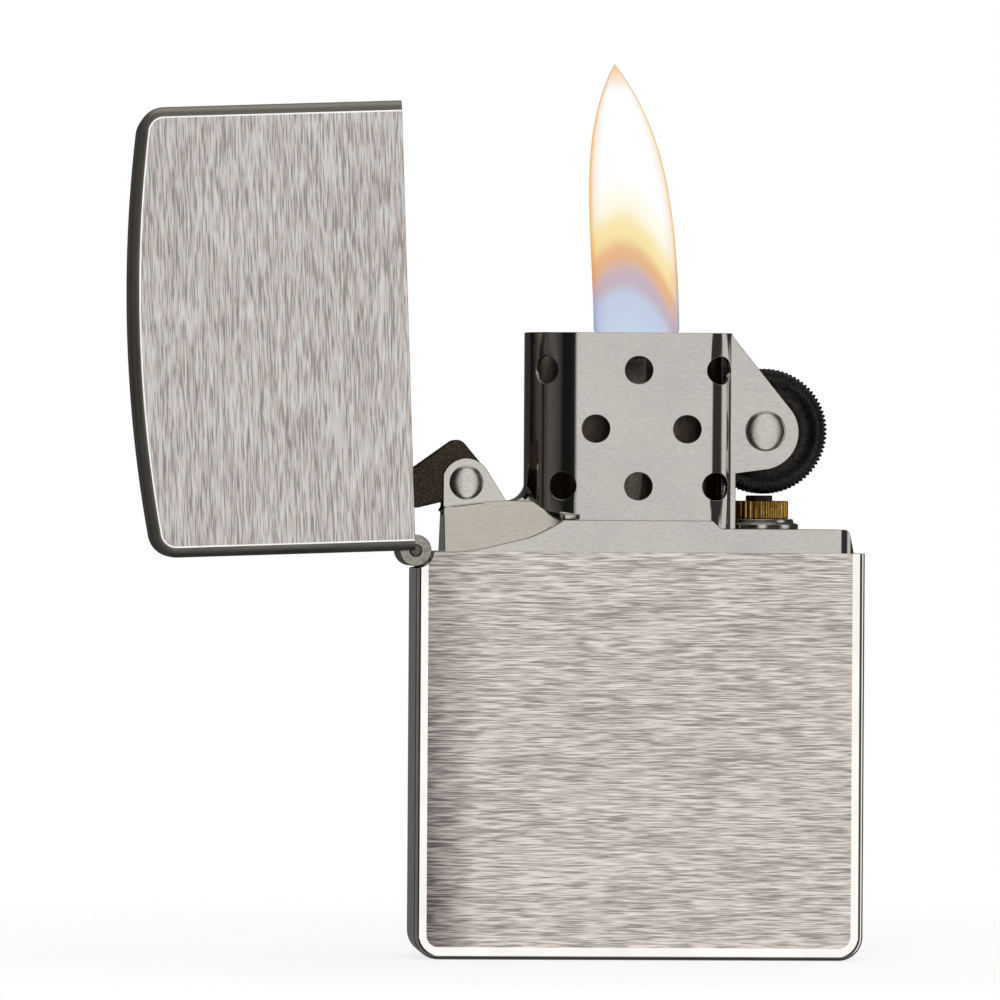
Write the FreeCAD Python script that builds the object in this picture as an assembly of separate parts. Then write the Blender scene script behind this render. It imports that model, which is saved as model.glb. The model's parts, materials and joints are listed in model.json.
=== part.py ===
"""Flip-top windproof petrol lighter, standing with its lid open.

Units are millimetres. The origin is the centre of the face that the lighter stands on.
+Z is up, +X points away from the hinge, and +Y points from the front face to the back.
Every piece is one solid (or one set of turns) written to parts/NAME.step.
"""
import FreeCAD, Part
import math
import os

V = FreeCAD.Vector

# Driving dimensions of the outer case and its lid.
WIDTH = 37.0
DEPTH = 12.7
CASE_HEIGHT = 33.55
LID_HEIGHT = 22.87
RIM_GAP = 0.10
WALL = 0.65
CASE_CORNER = 2.0
CASE_EDGE = 0.9
LID_CORNER = 2.1
LID_EDGE = 1.0
LID_CROWN_RADIUS = 115.0
LID_OPEN_DEG = 92.1

# The hinge: its axis lies in the plane of the outer wall, between the two rims.
HINGE_X = -WIDTH / 2
HINGE_Z = CASE_HEIGHT + RIM_GAP / 2
BARREL_RADIUS = 1.30
BARREL_LENGTH = 11.2
NOTCH_RADIUS = 1.45
KNUCKLES = 5
KNUCKLE_GAP = 0.08
PIN_RADIUS = 0.50
PIN_LENGTH = 11.3
PIN_CLEARANCE = 0.03
LEAF_THICKNESS = 0.50
CASE_LEAF_REACH = 9.0
LID_LEAF_REACH = 6.9
LEAF_HALF_WIDTH = 5.2
LEAF_SETBACK = 0.45

# The insert: a sheet-steel tank with its saddle, chimney and two pairs of ears.
SHEET = 0.40
TANK_LEFT = -16.1
TANK_RIGHT = 17.75
TANK_SHOULDER = 17.25
TANK_HALF_DEPTH = 5.6
TANK_BOTTOM = 1.9
TANK_CORNER = 1.3
TANK_TOP_ROUND = 0.5
TAPER_START = 33.3
DECK_TOP = 35.5
CHIMNEY_FOOT = 36.15
FOOT_RIGHT = 6.0
FOOT_SLOPE_END = 6.7
SADDLE_RIGHT = -6.4
RIDGE_HALF_WIDTH = 2.4
# Stations of the saddle: x, height at the tank's wall, height at the ridge.
SADDLE = [
    (TANK_LEFT, 33.35, 37.25),
    (-13.3, 33.70, 37.60),
    (-11.6, 34.10, 37.75),
    (-9.1, 34.75, 37.75),
    (-7.3, 35.60, 37.72),
    (SADDLE_RIGHT, CHIMNEY_FOOT, 37.70),
]

# The chimney and its air holes. The holes in the back stand between those in the front,
# so that no wind blows straight through on to the wick.
CHIMNEY_TOP = 51.65
CHIMNEY_HALF_DEPTH = 4.4
CHIMNEY_WALL = 0.45
CHIMNEY_LEFT_CENTRE = -4.94
CHIMNEY_RIGHT_CENTRE = 5.75
CHIMNEY_CORNER = 2.0
HOLE_RADIUS = 1.15
FRONT_HOLES = [
    (48.55, (-7.75, -0.12, 6.7)),
    (43.70, (-3.65, 3.9)),
    (38.98, (-6.4, -0.12, 6.35)),
]
BACK_HOLES = [
    (48.55, (-3.65, 3.9)),
    (43.70, (-7.4, -0.12, 7.1)),
    (38.98, (-3.1, 3.9)),
]

# The cam that snaps the lid open and shut, and its two ears.
CAM_X = -14.2
CAM_Z = 39.2
CAM_HALF_WIDTH = 1.8
CAM_EAR_INNER = 1.9
CAM_EAR_OUTER = 2.4
CAM_EAR_RADIUS = 2.0
CAM_RIVET_RADIUS = 0.75
CAM_HEAD_RADIUS = 1.4
CAM_SLOT_RIGHT = -12.2
CAM_SLOT_BOTTOM = 36.5
# Rounds that bound the cam: x and z from the pivot, and radius, counter-clockwise.
CAM_ROUNDS = [
    (-4.10, -1.20, 0.90),
    (0.00, 0.00, 1.10),
    (0.50, 0.60, 1.20),
    (-0.80, 2.635, 0.90),
    (-4.10, 0.27, 0.90),
]

# The leaf spring under the cam: riveted beneath the ridge, free at the hinge side.
SPRING_RIVET_X = -10.9
SPRING_RIVET_RADIUS = 0.6
LEAF_SPRING_HALF_WIDTH = 1.5
LEAF_SPRING_THICKNESS = 0.28
LEAF_SPRING_TIP_X = -14.9
LEAF_SPRING_END_X = -9.7
LEAF_SPRING_RISE = 0.15
RIDGE_UNDERSIDE = SADDLE[3][2] - SHEET - 0.03
SPRING_HEAD_HEIGHT = 0.35

# The sparking wheel, its ears and the flint under it.
WHEEL_X = 10.45
WHEEL_Z = 43.6
WHEEL_RADIUS = 5.2
WHEEL_TEETH = 90
TOOTH_DEPTH = 0.22
WHEEL_HALF_WIDTH = 2.45
HUB_RADIUS = 1.9
HUB_HALF_WIDTH = 2.65
WHEEL_EAR_INNER = 2.8
WHEEL_EAR_OUTER = 3.3
WHEEL_EAR_RADIUS = 3.1
WHEEL_RIVET_RADIUS = 0.75
WHEEL_HEAD_RADIUS = 1.67
RIVET_HEAD_HEIGHT = 0.35
RUNNING_CLEARANCE = 0.05
FLINT_X = 10.2
FLINT_RADIUS = 1.1
FLINT_TOP = 38.3
FLINT_LENGTH = 3.8
TUBE_BORE = 1.2
TUBE_RADIUS = 1.75
TUBE_BOTTOM = 2.7
FLANGE_RADIUS = 3.25
FLANGE_TOP = 36.35
COLLAR_RADIUS = 2.3
COLLAR_TOP = 37.85
COLLAR_FLUTES = 28
FLUTE_DEPTH = 0.12

# The screw that carries the flint spring.
SCREW_HEAD_RADIUS = 2.3
SCREW_HEAD_BOTTOM = 1.6
SCREW_HEAD_TOP = 2.6
SCREW_SHANK_RADIUS = 1.12
SCREW_SHANK_TOP = 6.4
SCREW_SLOT_WIDTH = 0.55
SCREW_SLOT_DEPTH = 0.45
SPRING_WIRE_RADIUS = 0.14
SPRING_COIL_RADIUS = 0.82
SPRING_PITCH = 1.5
SPRING_TIP_RADIUS = 1.0
SPRING_TIP_LENGTH = 1.4
SPRING_TIP_TOP = FLINT_TOP - FLINT_LENGTH - 0.05

# The wick, the packing that it is folded into, and the felt pad under them.
WICK_RADIUS = 1.1
WICK_ROUTE = [(-0.3, 49.5), (-0.3, 33.0), (-5.3, 25.0), (-0.3, 17.0), (-5.3, 9.0), (-2.8, 5.6)]
BALL_COUNT = 5
BALL_LEFT = -15.4
BALL_RIGHT = 8.0
BALL_HALF_DEPTH = 5.0
PACKING_BOTTOM = 4.9
PACKING_TOP = 34.9
BALL_GAP = 0.10
BALL_ROUND = 2.2
PAD_BOTTOM = 2.1
PAD_TOP = 4.8
PAD_GAP = 0.25
PAD_HOLE_RADIUS = 2.5

TOUCH = 1e-6


def box(x0, x1, y0, y1, z0, z1):
    """A block between two corners."""
    return Part.makeBox(x1 - x0, y1 - y0, z1 - z0, V(x0, y0, z0))


def rod(x, z, radius, y0, y1):
    """A round bar along Y."""
    return Part.makeCylinder(radius, y1 - y0, V(x, y0, z), V(0, 1, 0))


def post(x, radius, z0, z1):
    """A round bar along Z, in the middle of the lighter's depth."""
    return Part.makeCylinder(radius, z1 - z0, V(x, 0, z0))


def polygon(points):
    """Straight edges through (x, z) points, closed."""
    corners = [V(x, 0, z) for x, z in points]
    return [Part.makeLine(a, b) for a, b in zip(corners, corners[1:] + corners[:1])]


def plate(edges, y0, y1):
    """A closed outline in the XZ plane, thickened from y0 to y1."""
    wire = Part.Wire(edges)
    wire.translate(V(0, y0, 0))
    return Part.Face(wire).extrude(V(0, y1 - y0, 0))


def belt(rounds):
    """The outline of a belt drawn tight round circles (x, z, radius), counter-clockwise."""
    normals = []
    for (x1, z1, r1), (x2, z2, r2) in zip(rounds, rounds[1:] + rounds[:1]):
        length = math.hypot(x2 - x1, z2 - z1)
        along = ((x2 - x1) / length, (z2 - z1) / length)
        lean = (r1 - r2) / length
        side = math.sqrt(1 - lean * lean)
        normals.append((along[0] * lean + along[1] * side, along[1] * lean - along[0] * side))
    edges = []
    for i, (x, z, radius) in enumerate(rounds):
        before, after = normals[i - 1], normals[i]
        start = V(x + radius * before[0], 0, z + radius * before[1])
        end = V(x + radius * after[0], 0, z + radius * after[1])
        if radius > 0:
            middle = (before[0] + after[0], before[1] + after[1])
            scale = radius / math.hypot(*middle)
            top = V(x + middle[0] * scale, 0, z + middle[1] * scale)
            edges.append(Part.Arc(start, top, end).toShape())
        following = rounds[(i + 1) % len(rounds)]
        landing = V(following[0] + following[2] * after[0], 0, following[1] + following[2] * after[1])
        edges.append(Part.makeLine(end, landing))
    return edges


def rounded(solid, radius, chosen):
    """The solid with each edge that `chosen` accepts rounded off."""
    edges = [edge for edge in solid.Edges if chosen(edge.BoundBox)]
    return solid.makeFillet(radius, edges)


def along_y(bound):
    return bound.XLength < TOUCH and bound.ZLength < TOUCH


def in_a_face(bound):
    return bound.YLength < TOUCH


def level_at(bound, z):
    return bound.ZLength < TOUCH and abs(bound.ZMin - z) < TOUCH


def rotated_open(solid):
    """A lid piece, made shut, turned to where the open lid holds it."""
    return solid.rotated(V(HINGE_X, 0, HINGE_Z), V(0, -1, 0), LID_OPEN_DEG)


# The outer case and the lid: two drawn cans that meet rim to rim.

def can(outline, half_depth, rim_z, corner, edge):
    """A closed outline thickened across the lighter, rounded everywhere but at its rim."""
    solid = plate(outline, -half_depth, half_depth)
    solid = rounded(solid, corner, lambda b: along_y(b) and not level_at(b, rim_z))
    return rounded(solid, edge, lambda b: in_a_face(b) and not level_at(b, rim_z))


def case_outline(inset, rim_z):
    half = WIDTH / 2 - inset
    return polygon([(-half, inset), (half, inset), (half, rim_z), (-half, rim_z)])


def make_case_body():
    half_depth = DEPTH / 2
    outside = can(case_outline(0, CASE_HEIGHT), half_depth, CASE_HEIGHT, CASE_CORNER, CASE_EDGE)
    mouth = CASE_HEIGHT + 1
    inside = can(case_outline(WALL, mouth), half_depth - WALL, mouth, CASE_CORNER - WALL,
                 CASE_EDGE - WALL)
    notch = rod(HINGE_X, HINGE_Z, NOTCH_RADIUS, -DEPTH, DEPTH)
    return outside.cut(inside).cut(notch)


def lid_outline(inset, rim_z):
    """Straight sides under an arched top."""
    half = WIDTH / 2 - inset
    radius = LID_CROWN_RADIUS - inset
    top = CASE_HEIGHT + RIM_GAP + LID_HEIGHT - inset
    side = top - radius + math.sqrt(radius ** 2 - half ** 2)
    corners = [V(-half, 0, side), V(-half, 0, rim_z), V(half, 0, rim_z), V(half, 0, side)]
    lines = [Part.makeLine(a, b) for a, b in zip(corners, corners[1:])]
    return lines + [Part.Arc(corners[3], V(0, 0, top), corners[0]).toShape()]


def make_lid_shell():
    half_depth = DEPTH / 2
    rim = CASE_HEIGHT + RIM_GAP
    outside = can(lid_outline(0, rim), half_depth, rim, LID_CORNER, LID_EDGE)
    mouth = rim - 1
    inside = can(lid_outline(WALL, mouth), half_depth - WALL, mouth, LID_CORNER - WALL,
                 LID_EDGE - WALL)
    notch = rod(HINGE_X, HINGE_Z, NOTCH_RADIUS, -(half_depth - WALL), half_depth - WALL)
    return rotated_open(outside.cut(inside).cut(notch))


# The hinge: two leaves with interleaved knuckles, and the pin through them.

def knuckle_span(index):
    """Where one knuckle of the barrel starts and ends along Y."""
    length = BARREL_LENGTH / KNUCKLES
    start = -BARREL_LENGTH / 2 + index * length
    return start, start + length


def hinge_leaf(z0, z1, own, bore):
    """A leaf inside the wall at the hinge, with the knuckles whose numbers are in `own`."""
    inner_face = HINGE_X + WALL
    leaf = box(inner_face, inner_face + LEAF_THICKNESS, -LEAF_HALF_WIDTH, LEAF_HALF_WIDTH, z0, z1)
    for index in range(KNUCKLES):
        start, end = knuckle_span(index)
        if index not in own:
            clearance = NOTCH_RADIUS - 0.02
            leaf = leaf.cut(rod(HINGE_X, HINGE_Z, clearance, start, end))
    for index in own:
        start, end = knuckle_span(index)
        leaf = leaf.fuse(rod(HINGE_X, HINGE_Z, BARREL_RADIUS, start + KNUCKLE_GAP / 2,
                             end - KNUCKLE_GAP / 2))
    leaf = leaf.cut(rod(HINGE_X, HINGE_Z, bore, -BARREL_LENGTH, BARREL_LENGTH))
    return leaf.removeSplitter()


def make_case_hinge_leaf():
    return hinge_leaf(HINGE_Z - CASE_LEAF_REACH, HINGE_Z - LEAF_SETBACK, (0, 2, 4), PIN_RADIUS)


def make_lid_hinge_leaf():
    leaf = hinge_leaf(HINGE_Z + LEAF_SETBACK, HINGE_Z + LID_LEAF_REACH, (1, 3),
                      PIN_RADIUS + PIN_CLEARANCE)
    return rotated_open(leaf)


def make_hinge_pin():
    return rod(HINGE_X, HINGE_Z, PIN_RADIUS, -PIN_LENGTH / 2, PIN_LENGTH / 2)


# The insert's shell: tank, saddle, chimney and ears, all one pressed and folded sheet.

def tank_block(inset, bottom, vertical_round, top_round):
    """The tank's outer form, or with an inset the space inside it."""
    right, shoulder = TANK_RIGHT - inset, TANK_SHOULDER - inset
    deck, foot = DECK_TOP - inset, CHIMNEY_FOOT - inset
    step_bottom = SADDLE[0][1] - 0.3
    outline = polygon([
        (TANK_LEFT + inset, bottom), (right, bottom), (right, TAPER_START), (shoulder, deck),
        (FOOT_SLOPE_END - inset, deck), (FOOT_RIGHT - inset, foot), (SADDLE_RIGHT, foot),
        (SADDLE_RIGHT, step_bottom), (TANK_LEFT + inset, step_bottom),
    ])
    half = TANK_HALF_DEPTH - inset
    solid = plate(outline, -half, half)
    solid = rounded(solid, top_round, lambda b: along_y(b) and b.XMin > FOOT_SLOPE_END
                    and b.ZMin > TAPER_START + 1)
    solid = rounded(solid, vertical_round, lambda b: in_a_face(b) and b.XMin > shoulder - TOUCH
                    and b.ZLength > 1)
    return solid


def saddle_block(inset):
    """The roof-shaped hump that carries the cam, between the hinge side and the chimney."""
    wall = TANK_HALF_DEPTH - inset
    ridge = RIDGE_HALF_WIDTH - 0.5 * inset
    base = SADDLE[0][1] - 1.0
    sections = []
    for index, (x, wall_z, ridge_z) in enumerate(SADDLE):
        x += inset if index == 0 else 0
        profile = [(-wall, base), (-wall, wall_z - inset), (-ridge, ridge_z - inset),
                   (ridge, ridge_z - inset), (wall, wall_z - inset), (wall, base)]
        points = [V(x, y, z) for y, z in profile]
        sections.append(Part.makePolygon(points + points[:1]))
    return Part.makeLoft(sections, True, False)


def chimney_plan(inset):
    """The chimney's outline seen from above: a round end, straight flanks, rounded corners."""
    half = CHIMNEY_HALF_DEPTH - inset
    left, right = CHIMNEY_LEFT_CENTRE, CHIMNEY_RIGHT_CENTRE
    corner = CHIMNEY_CORNER - inset
    end, turn = right + corner, half - corner
    slant = corner * math.sqrt(0.5)
    edges = [
        Part.Arc(V(left, half, 0), V(left - half, 0, 0), V(left, -half, 0)).toShape(),
        Part.makeLine(V(left, -half, 0), V(right, -half, 0)),
        Part.Arc(V(right, -half, 0), V(right + slant, -turn - slant, 0), V(end, -turn, 0)).toShape(),
        Part.makeLine(V(end, -turn, 0), V(end, turn, 0)),
        Part.Arc(V(end, turn, 0), V(right + slant, turn + slant, 0), V(right, half, 0)).toShape(),
        Part.makeLine(V(right, half, 0), V(left, half, 0)),
    ]
    return Part.Face(Part.Wire(edges))


def chimney_prism(inset, z0, z1):
    plan = chimney_plan(inset)
    plan.translate(V(0, 0, z0))
    return plan.extrude(V(0, 0, z1 - z0))


def air_hole(x, z, side):
    """A round hole square to the chimney's wall, on the front (side -1) or the back (+1)."""
    centre = V(x, 0, z)
    sideways = 0.0
    if x < CHIMNEY_LEFT_CENTRE:
        centre = V(CHIMNEY_LEFT_CENTRE, 0, z)
        sideways = (x - CHIMNEY_LEFT_CENTRE) / CHIMNEY_HALF_DEPTH
    elif x > CHIMNEY_RIGHT_CENTRE:
        centre = V(CHIMNEY_RIGHT_CENTRE, side * (CHIMNEY_HALF_DEPTH - CHIMNEY_CORNER), z)
        sideways = (x - CHIMNEY_RIGHT_CENTRE) / CHIMNEY_CORNER
    direction = V(sideways, side * math.sqrt(1 - sideways ** 2), 0)
    return Part.makeCylinder(HOLE_RADIUS, 2 * CHIMNEY_HALF_DEPTH, centre, direction)


def cam_ear(side):
    rounds = [(TANK_LEFT, CAM_SLOT_BOTTOM, 0), (-10.6, CAM_SLOT_BOTTOM + 0.7, 0),
              (CAM_X, CAM_Z, CAM_EAR_RADIUS)]
    y0, y1 = sorted((side * CAM_EAR_INNER, side * CAM_EAR_OUTER))
    ear = plate(belt(rounds), y0, y1)
    return ear.common(box(TANK_LEFT, WHEEL_X, -DEPTH, DEPTH, 0, CHIMNEY_TOP))


def wheel_ear(side):
    """One cheek that holds the wheel, and the narrow strip that joins it to the deck."""
    fold = CHIMNEY_RIGHT_CENTRE + CHIMNEY_CORNER - 0.25
    rounds = [(fold, 40.0, 0), (WHEEL_X - 0.35, WHEEL_Z - 0.1, WHEEL_EAR_RADIUS),
              (fold, CHIMNEY_TOP, 0)]
    y0, y1 = sorted((side * WHEEL_EAR_INNER, side * WHEEL_EAR_OUTER))
    strip = box(fold, fold + 0.5, y0, y1, DECK_TOP - SHEET, CHIMNEY_TOP - 0.5)
    return plate(belt(rounds), y0, y1).fuse(strip)


def make_insert_shell():
    shell = tank_block(0, TANK_BOTTOM, TANK_CORNER, TANK_TOP_ROUND).fuse(saddle_block(0))
    shell = shell.fuse(chimney_prism(0, DECK_TOP, CHIMNEY_TOP))
    well = chimney_prism(CHIMNEY_WALL, CHIMNEY_FOOT, CHIMNEY_TOP + 1)
    wheel_gap = box(FLINT_X - 4.0, FLINT_X, -WHEEL_EAR_INNER, WHEEL_EAR_INNER, DECK_TOP,
                    CHIMNEY_TOP + 1)
    shell = shell.cut(well).cut(wheel_gap)
    for side in (-1, 1):
        shell = shell.fuse(cam_ear(side)).fuse(wheel_ear(side))
    cavity = tank_block(SHEET, TANK_BOTTOM - 1, TANK_CORNER - SHEET, TANK_TOP_ROUND - 0.2)
    cavity = cavity.fuse(saddle_block(SHEET))
    shell = shell.cut(cavity)
    shell = shell.cut(box(TANK_LEFT - 1, CAM_SLOT_RIGHT, -CAM_EAR_INNER, CAM_EAR_INNER,
                          CAM_SLOT_BOTTOM, CAM_Z + 5))
    for side, rows in ((-1, FRONT_HOLES), (1, BACK_HOLES)):
        for z, places in rows:
            for x in places:
                shell = shell.cut(air_hole(x, z, side))
    shell = shell.cut(rod(CAM_X, CAM_Z, CAM_RIVET_RADIUS, -DEPTH, DEPTH))
    shell = shell.cut(rod(WHEEL_X, WHEEL_Z, WHEEL_RIVET_RADIUS, -DEPTH, DEPTH))
    shell = shell.cut(post(FLINT_X, TUBE_RADIUS, DECK_TOP - 1, DECK_TOP + 1))
    wick_hole = WICK_RADIUS + RUNNING_CLEARANCE
    shell = shell.cut(post(WICK_ROUTE[0][0], wick_hole, CHIMNEY_FOOT - 1, CHIMNEY_FOOT + 1))
    shell = shell.cut(post(SPRING_RIVET_X, SPRING_RIVET_RADIUS, 36, 38.5))
    return shell.removeSplitter()


# The cam, its rivet, and the leaf spring that presses on its heel.

def make_cam():
    rounds = [(CAM_X + x, CAM_Z + z, radius) for x, z, radius in CAM_ROUNDS]
    body = plate(belt(rounds), -CAM_HALF_WIDTH, CAM_HALF_WIDTH)
    bore = rod(CAM_X, CAM_Z, CAM_RIVET_RADIUS + RUNNING_CLEARANCE, -DEPTH, DEPTH)
    return body.cut(bore)


def rivet(x, z, radius, head_radius, outer):
    """A shank along Y with a low domed head outside each ear."""
    shank = rod(x, z, radius, -outer, outer)
    for side in (-1, 1):
        y0, y1 = sorted((side * outer, side * (outer + RIVET_HEAD_HEIGHT)))
        head = rod(x, z, head_radius, y0, y1)
        crest = side * (outer + RIVET_HEAD_HEIGHT)
        head = rounded(head, 0.6 * RIVET_HEAD_HEIGHT,
                       lambda b: in_a_face(b) and abs(b.YMin - crest) < TOUCH)
        shank = shank.fuse(head)
    return shank


def make_cam_rivet():
    return rivet(CAM_X, CAM_Z, CAM_RIVET_RADIUS, CAM_HEAD_RADIUS, CAM_EAR_OUTER)


def make_cam_spring():
    """A flat strip under the ridge, bowed up a little where it meets the cam's heel."""
    top = RIDGE_UNDERSIDE
    bend_x = CAM_SLOT_RIGHT
    outline = polygon([
        (LEAF_SPRING_END_X, top), (bend_x, top), (LEAF_SPRING_TIP_X, top + LEAF_SPRING_RISE),
        (LEAF_SPRING_TIP_X, top + LEAF_SPRING_RISE - LEAF_SPRING_THICKNESS),
        (bend_x, top - LEAF_SPRING_THICKNESS), (LEAF_SPRING_END_X, top - LEAF_SPRING_THICKNESS),
    ])
    strip = plate(outline, -LEAF_SPRING_HALF_WIDTH, LEAF_SPRING_HALF_WIDTH)
    return strip.cut(post(SPRING_RIVET_X, SPRING_RIVET_RADIUS, 36, 38.5))


def make_cam_spring_rivet():
    """A rivet set flush with the ridge, with its head under the spring."""
    under = RIDGE_UNDERSIDE - LEAF_SPRING_THICKNESS
    shank = post(SPRING_RIVET_X, SPRING_RIVET_RADIUS, under, RIDGE_UNDERSIDE + SHEET)
    head = post(SPRING_RIVET_X, 2 * SPRING_RIVET_RADIUS, under - SPRING_HEAD_HEIGHT, under)
    return shank.fuse(head)


# The sparking wheel and its rivet.

def toothed_outline(x, z, radius, depth, count):
    points = []
    for step in range(2 * count):
        reach = radius - depth * (step % 2)
        angle = math.pi * step / count
        points.append((x + reach * math.cos(angle), z + reach * math.sin(angle)))
    return polygon(points)


def make_flint_wheel():
    teeth = toothed_outline(WHEEL_X, WHEEL_Z, WHEEL_RADIUS, TOOTH_DEPTH, WHEEL_TEETH)
    wheel = plate(teeth, -WHEEL_HALF_WIDTH, WHEEL_HALF_WIDTH)
    wheel = wheel.fuse(rod(WHEEL_X, WHEEL_Z, HUB_RADIUS, -HUB_HALF_WIDTH, HUB_HALF_WIDTH))
    bore = WHEEL_RIVET_RADIUS + RUNNING_CLEARANCE
    return wheel.cut(rod(WHEEL_X, WHEEL_Z, bore, -DEPTH, DEPTH))


def make_wheel_rivet():
    return rivet(WHEEL_X, WHEEL_Z, WHEEL_RIVET_RADIUS, WHEEL_HEAD_RADIUS, WHEEL_EAR_OUTER)


# The flint, the tube that guides it, and the screw and spring that push it up.

def make_flint_tube():
    tube = post(FLINT_X, TUBE_RADIUS, TUBE_BOTTOM, COLLAR_TOP - 0.1)
    return tube.cut(post(FLINT_X, TUBE_BORE, 0, CHIMNEY_TOP))


def make_tube_flange():
    ring = post(FLINT_X, FLANGE_RADIUS, DECK_TOP, FLANGE_TOP)
    ring = rounded(ring, 0.25, lambda b: b.ZLength < TOUCH and b.ZMin > FLANGE_TOP - TOUCH)
    return ring.cut(post(FLINT_X, TUBE_RADIUS, 0, CHIMNEY_TOP))


def make_tube_collar():
    """A fluted brass nut round the tube's upper end."""
    flutes = toothed_outline(0, 0, COLLAR_RADIUS, FLUTE_DEPTH, COLLAR_FLUTES)
    collar = plate(flutes, 0, COLLAR_TOP - FLANGE_TOP)
    collar.rotate(V(0, 0, 0), V(1, 0, 0), 90)
    collar.translate(V(FLINT_X, 0, FLANGE_TOP))
    return collar.cut(post(FLINT_X, TUBE_RADIUS, 0, CHIMNEY_TOP))


def make_flint():
    return post(FLINT_X, FLINT_RADIUS, FLINT_TOP - FLINT_LENGTH, FLINT_TOP)


def make_spring_tip():
    return post(FLINT_X, SPRING_TIP_RADIUS, SPRING_TIP_TOP - SPRING_TIP_LENGTH, SPRING_TIP_TOP)


def make_flint_spring():
    """A close helix from the screw's end to the tip."""
    start = SCREW_SHANK_TOP + SPRING_WIRE_RADIUS
    height = SPRING_TIP_TOP - SPRING_TIP_LENGTH - SPRING_WIRE_RADIUS - start
    helix = Part.makeHelix(SPRING_PITCH, height, SPRING_COIL_RADIUS)
    section = Part.Wire(Part.makeCircle(SPRING_WIRE_RADIUS, V(SPRING_COIL_RADIUS, 0, 0), V(0, 1, 0)))
    spring = Part.Wire(helix.Edges).makePipeShell([section], True, True)
    spring.translate(V(FLINT_X, 0, start))
    return spring


def make_flint_screw():
    head = post(FLINT_X, SCREW_HEAD_RADIUS, SCREW_HEAD_BOTTOM, SCREW_HEAD_TOP)
    slot = box(FLINT_X - 5, FLINT_X + 5, -SCREW_SLOT_WIDTH / 2, SCREW_SLOT_WIDTH / 2,
               SCREW_HEAD_BOTTOM, SCREW_HEAD_BOTTOM + SCREW_SLOT_DEPTH)
    return head.cut(slot).fuse(post(FLINT_X, SCREW_SHANK_RADIUS, SCREW_HEAD_TOP, SCREW_SHANK_TOP))


# The soft pieces: wick, packing and pad.

def wick_tube(radius):
    """A tube along the wick's route: straight runs joined by arcs that touch both runs."""
    points = [V(x, 0, z) for x, z in WICK_ROUTE]
    edges = []
    start = points[0]
    for before, corner, after in zip(points, points[1:], points[2:]):
        back, ahead = before - corner, after - corner
        setback = 0.45 * min(back.Length, ahead.Length)
        half_turn = 0.5 * (math.pi - back.getAngle(ahead))
        bend = setback / math.tan(half_turn)
        back.normalize()
        ahead.normalize()
        first, last = corner + back * setback, corner + ahead * setback
        inward = (back + ahead).normalize()
        middle = corner + inward * (bend / math.cos(half_turn) - bend)
        edges.append(Part.makeLine(start, first))
        edges.append(Part.Arc(first, middle, last).toShape())
        start = last
    edges.append(Part.makeLine(start, points[-1]))
    section = Part.Wire(Part.makeCircle(radius, points[0], V(0, 0, 1)))
    return Part.Wire(edges).makePipeShell([section], True, False)


def make_wick():
    return wick_tube(WICK_RADIUS)


def make_packing_balls():
    """Soft blocks stacked beside the flint tube, each with a tunnel for the wick."""
    height = (PACKING_TOP - PACKING_BOTTOM) / BALL_COUNT
    tunnel = wick_tube(WICK_RADIUS + 0.02)
    balls = {}
    for index in range(BALL_COUNT):
        z0 = PACKING_BOTTOM + index * height
        ball = box(BALL_LEFT, BALL_RIGHT, -BALL_HALF_DEPTH, BALL_HALF_DEPTH, z0,
                   z0 + height - BALL_GAP)
        ball = ball.makeFillet(BALL_ROUND, ball.Edges)
        balls["packing_ball_%d" % (index + 1)] = ball.cut(tunnel)
    return balls


def make_felt_pad():
    left, right = TANK_LEFT + SHEET + PAD_GAP, TANK_RIGHT - SHEET - PAD_GAP
    half = TANK_HALF_DEPTH - SHEET - PAD_GAP
    pad = box(left, right, -half, half, PAD_BOTTOM, PAD_TOP)
    pad = rounded(pad, 0.8, lambda b: b.ZLength > 1)
    return pad.cut(post(FLINT_X, PAD_HOLE_RADIUS, 0, PAD_TOP + 1))


NODES = {
    "case_body": make_case_body(),
    "case_hinge_leaf": make_case_hinge_leaf(),
    "hinge_pin": make_hinge_pin(),
    "lid_shell": make_lid_shell(),
    "lid_hinge_leaf": make_lid_hinge_leaf(),
    "insert_shell": make_insert_shell(),
    "cam": make_cam(),
    "cam_rivet": make_cam_rivet(),
    "cam_spring": make_cam_spring(),
    "cam_spring_rivet": make_cam_spring_rivet(),
    "flint_wheel": make_flint_wheel(),
    "wheel_rivet": make_wheel_rivet(),
    "flint_tube": make_flint_tube(),
    "tube_flange": make_tube_flange(),
    "tube_collar": make_tube_collar(),
    "flint": make_flint(),
    "spring_tip": make_spring_tip(),
    "flint_spring": make_flint_spring(),
    "flint_screw": make_flint_screw(),
    "wick": make_wick(),
    "felt_pad": make_felt_pad(),
}
NODES.update(make_packing_balls())

os.makedirs("parts", exist_ok=True)
for name, shape in NODES.items():
    shape.exportStep("parts/%s.step" % name)
    print("%-18s %2d solid(s) %9.2f mm3 valid %s" % (name, len(shape.Solids), shape.Volume,
                                                    shape.isValid()))
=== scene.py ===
# %% [markdown]
# # A flip-top petrol lighter, standing open with its flame lit
#
# The lighter is two drawn metal cans joined by a hinge, with a steel insert standing in the lower one.
# The insert carries the chimney, the cam that snaps the lid, the sparking wheel and the fuel packing.
# This file builds each of those pieces as a real mesh around a fixed CAD model, gives every surface
# its own procedural finish, and then lights the lighter as a small product on a pale table.
# All lengths in the shape code are millimetres. A piece is shrunk to metres when it is finished.

# %% Load the fixed model
import bmesh
import bpy
import json
import math
import random
from mathutils import Matrix, Vector, noise


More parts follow.
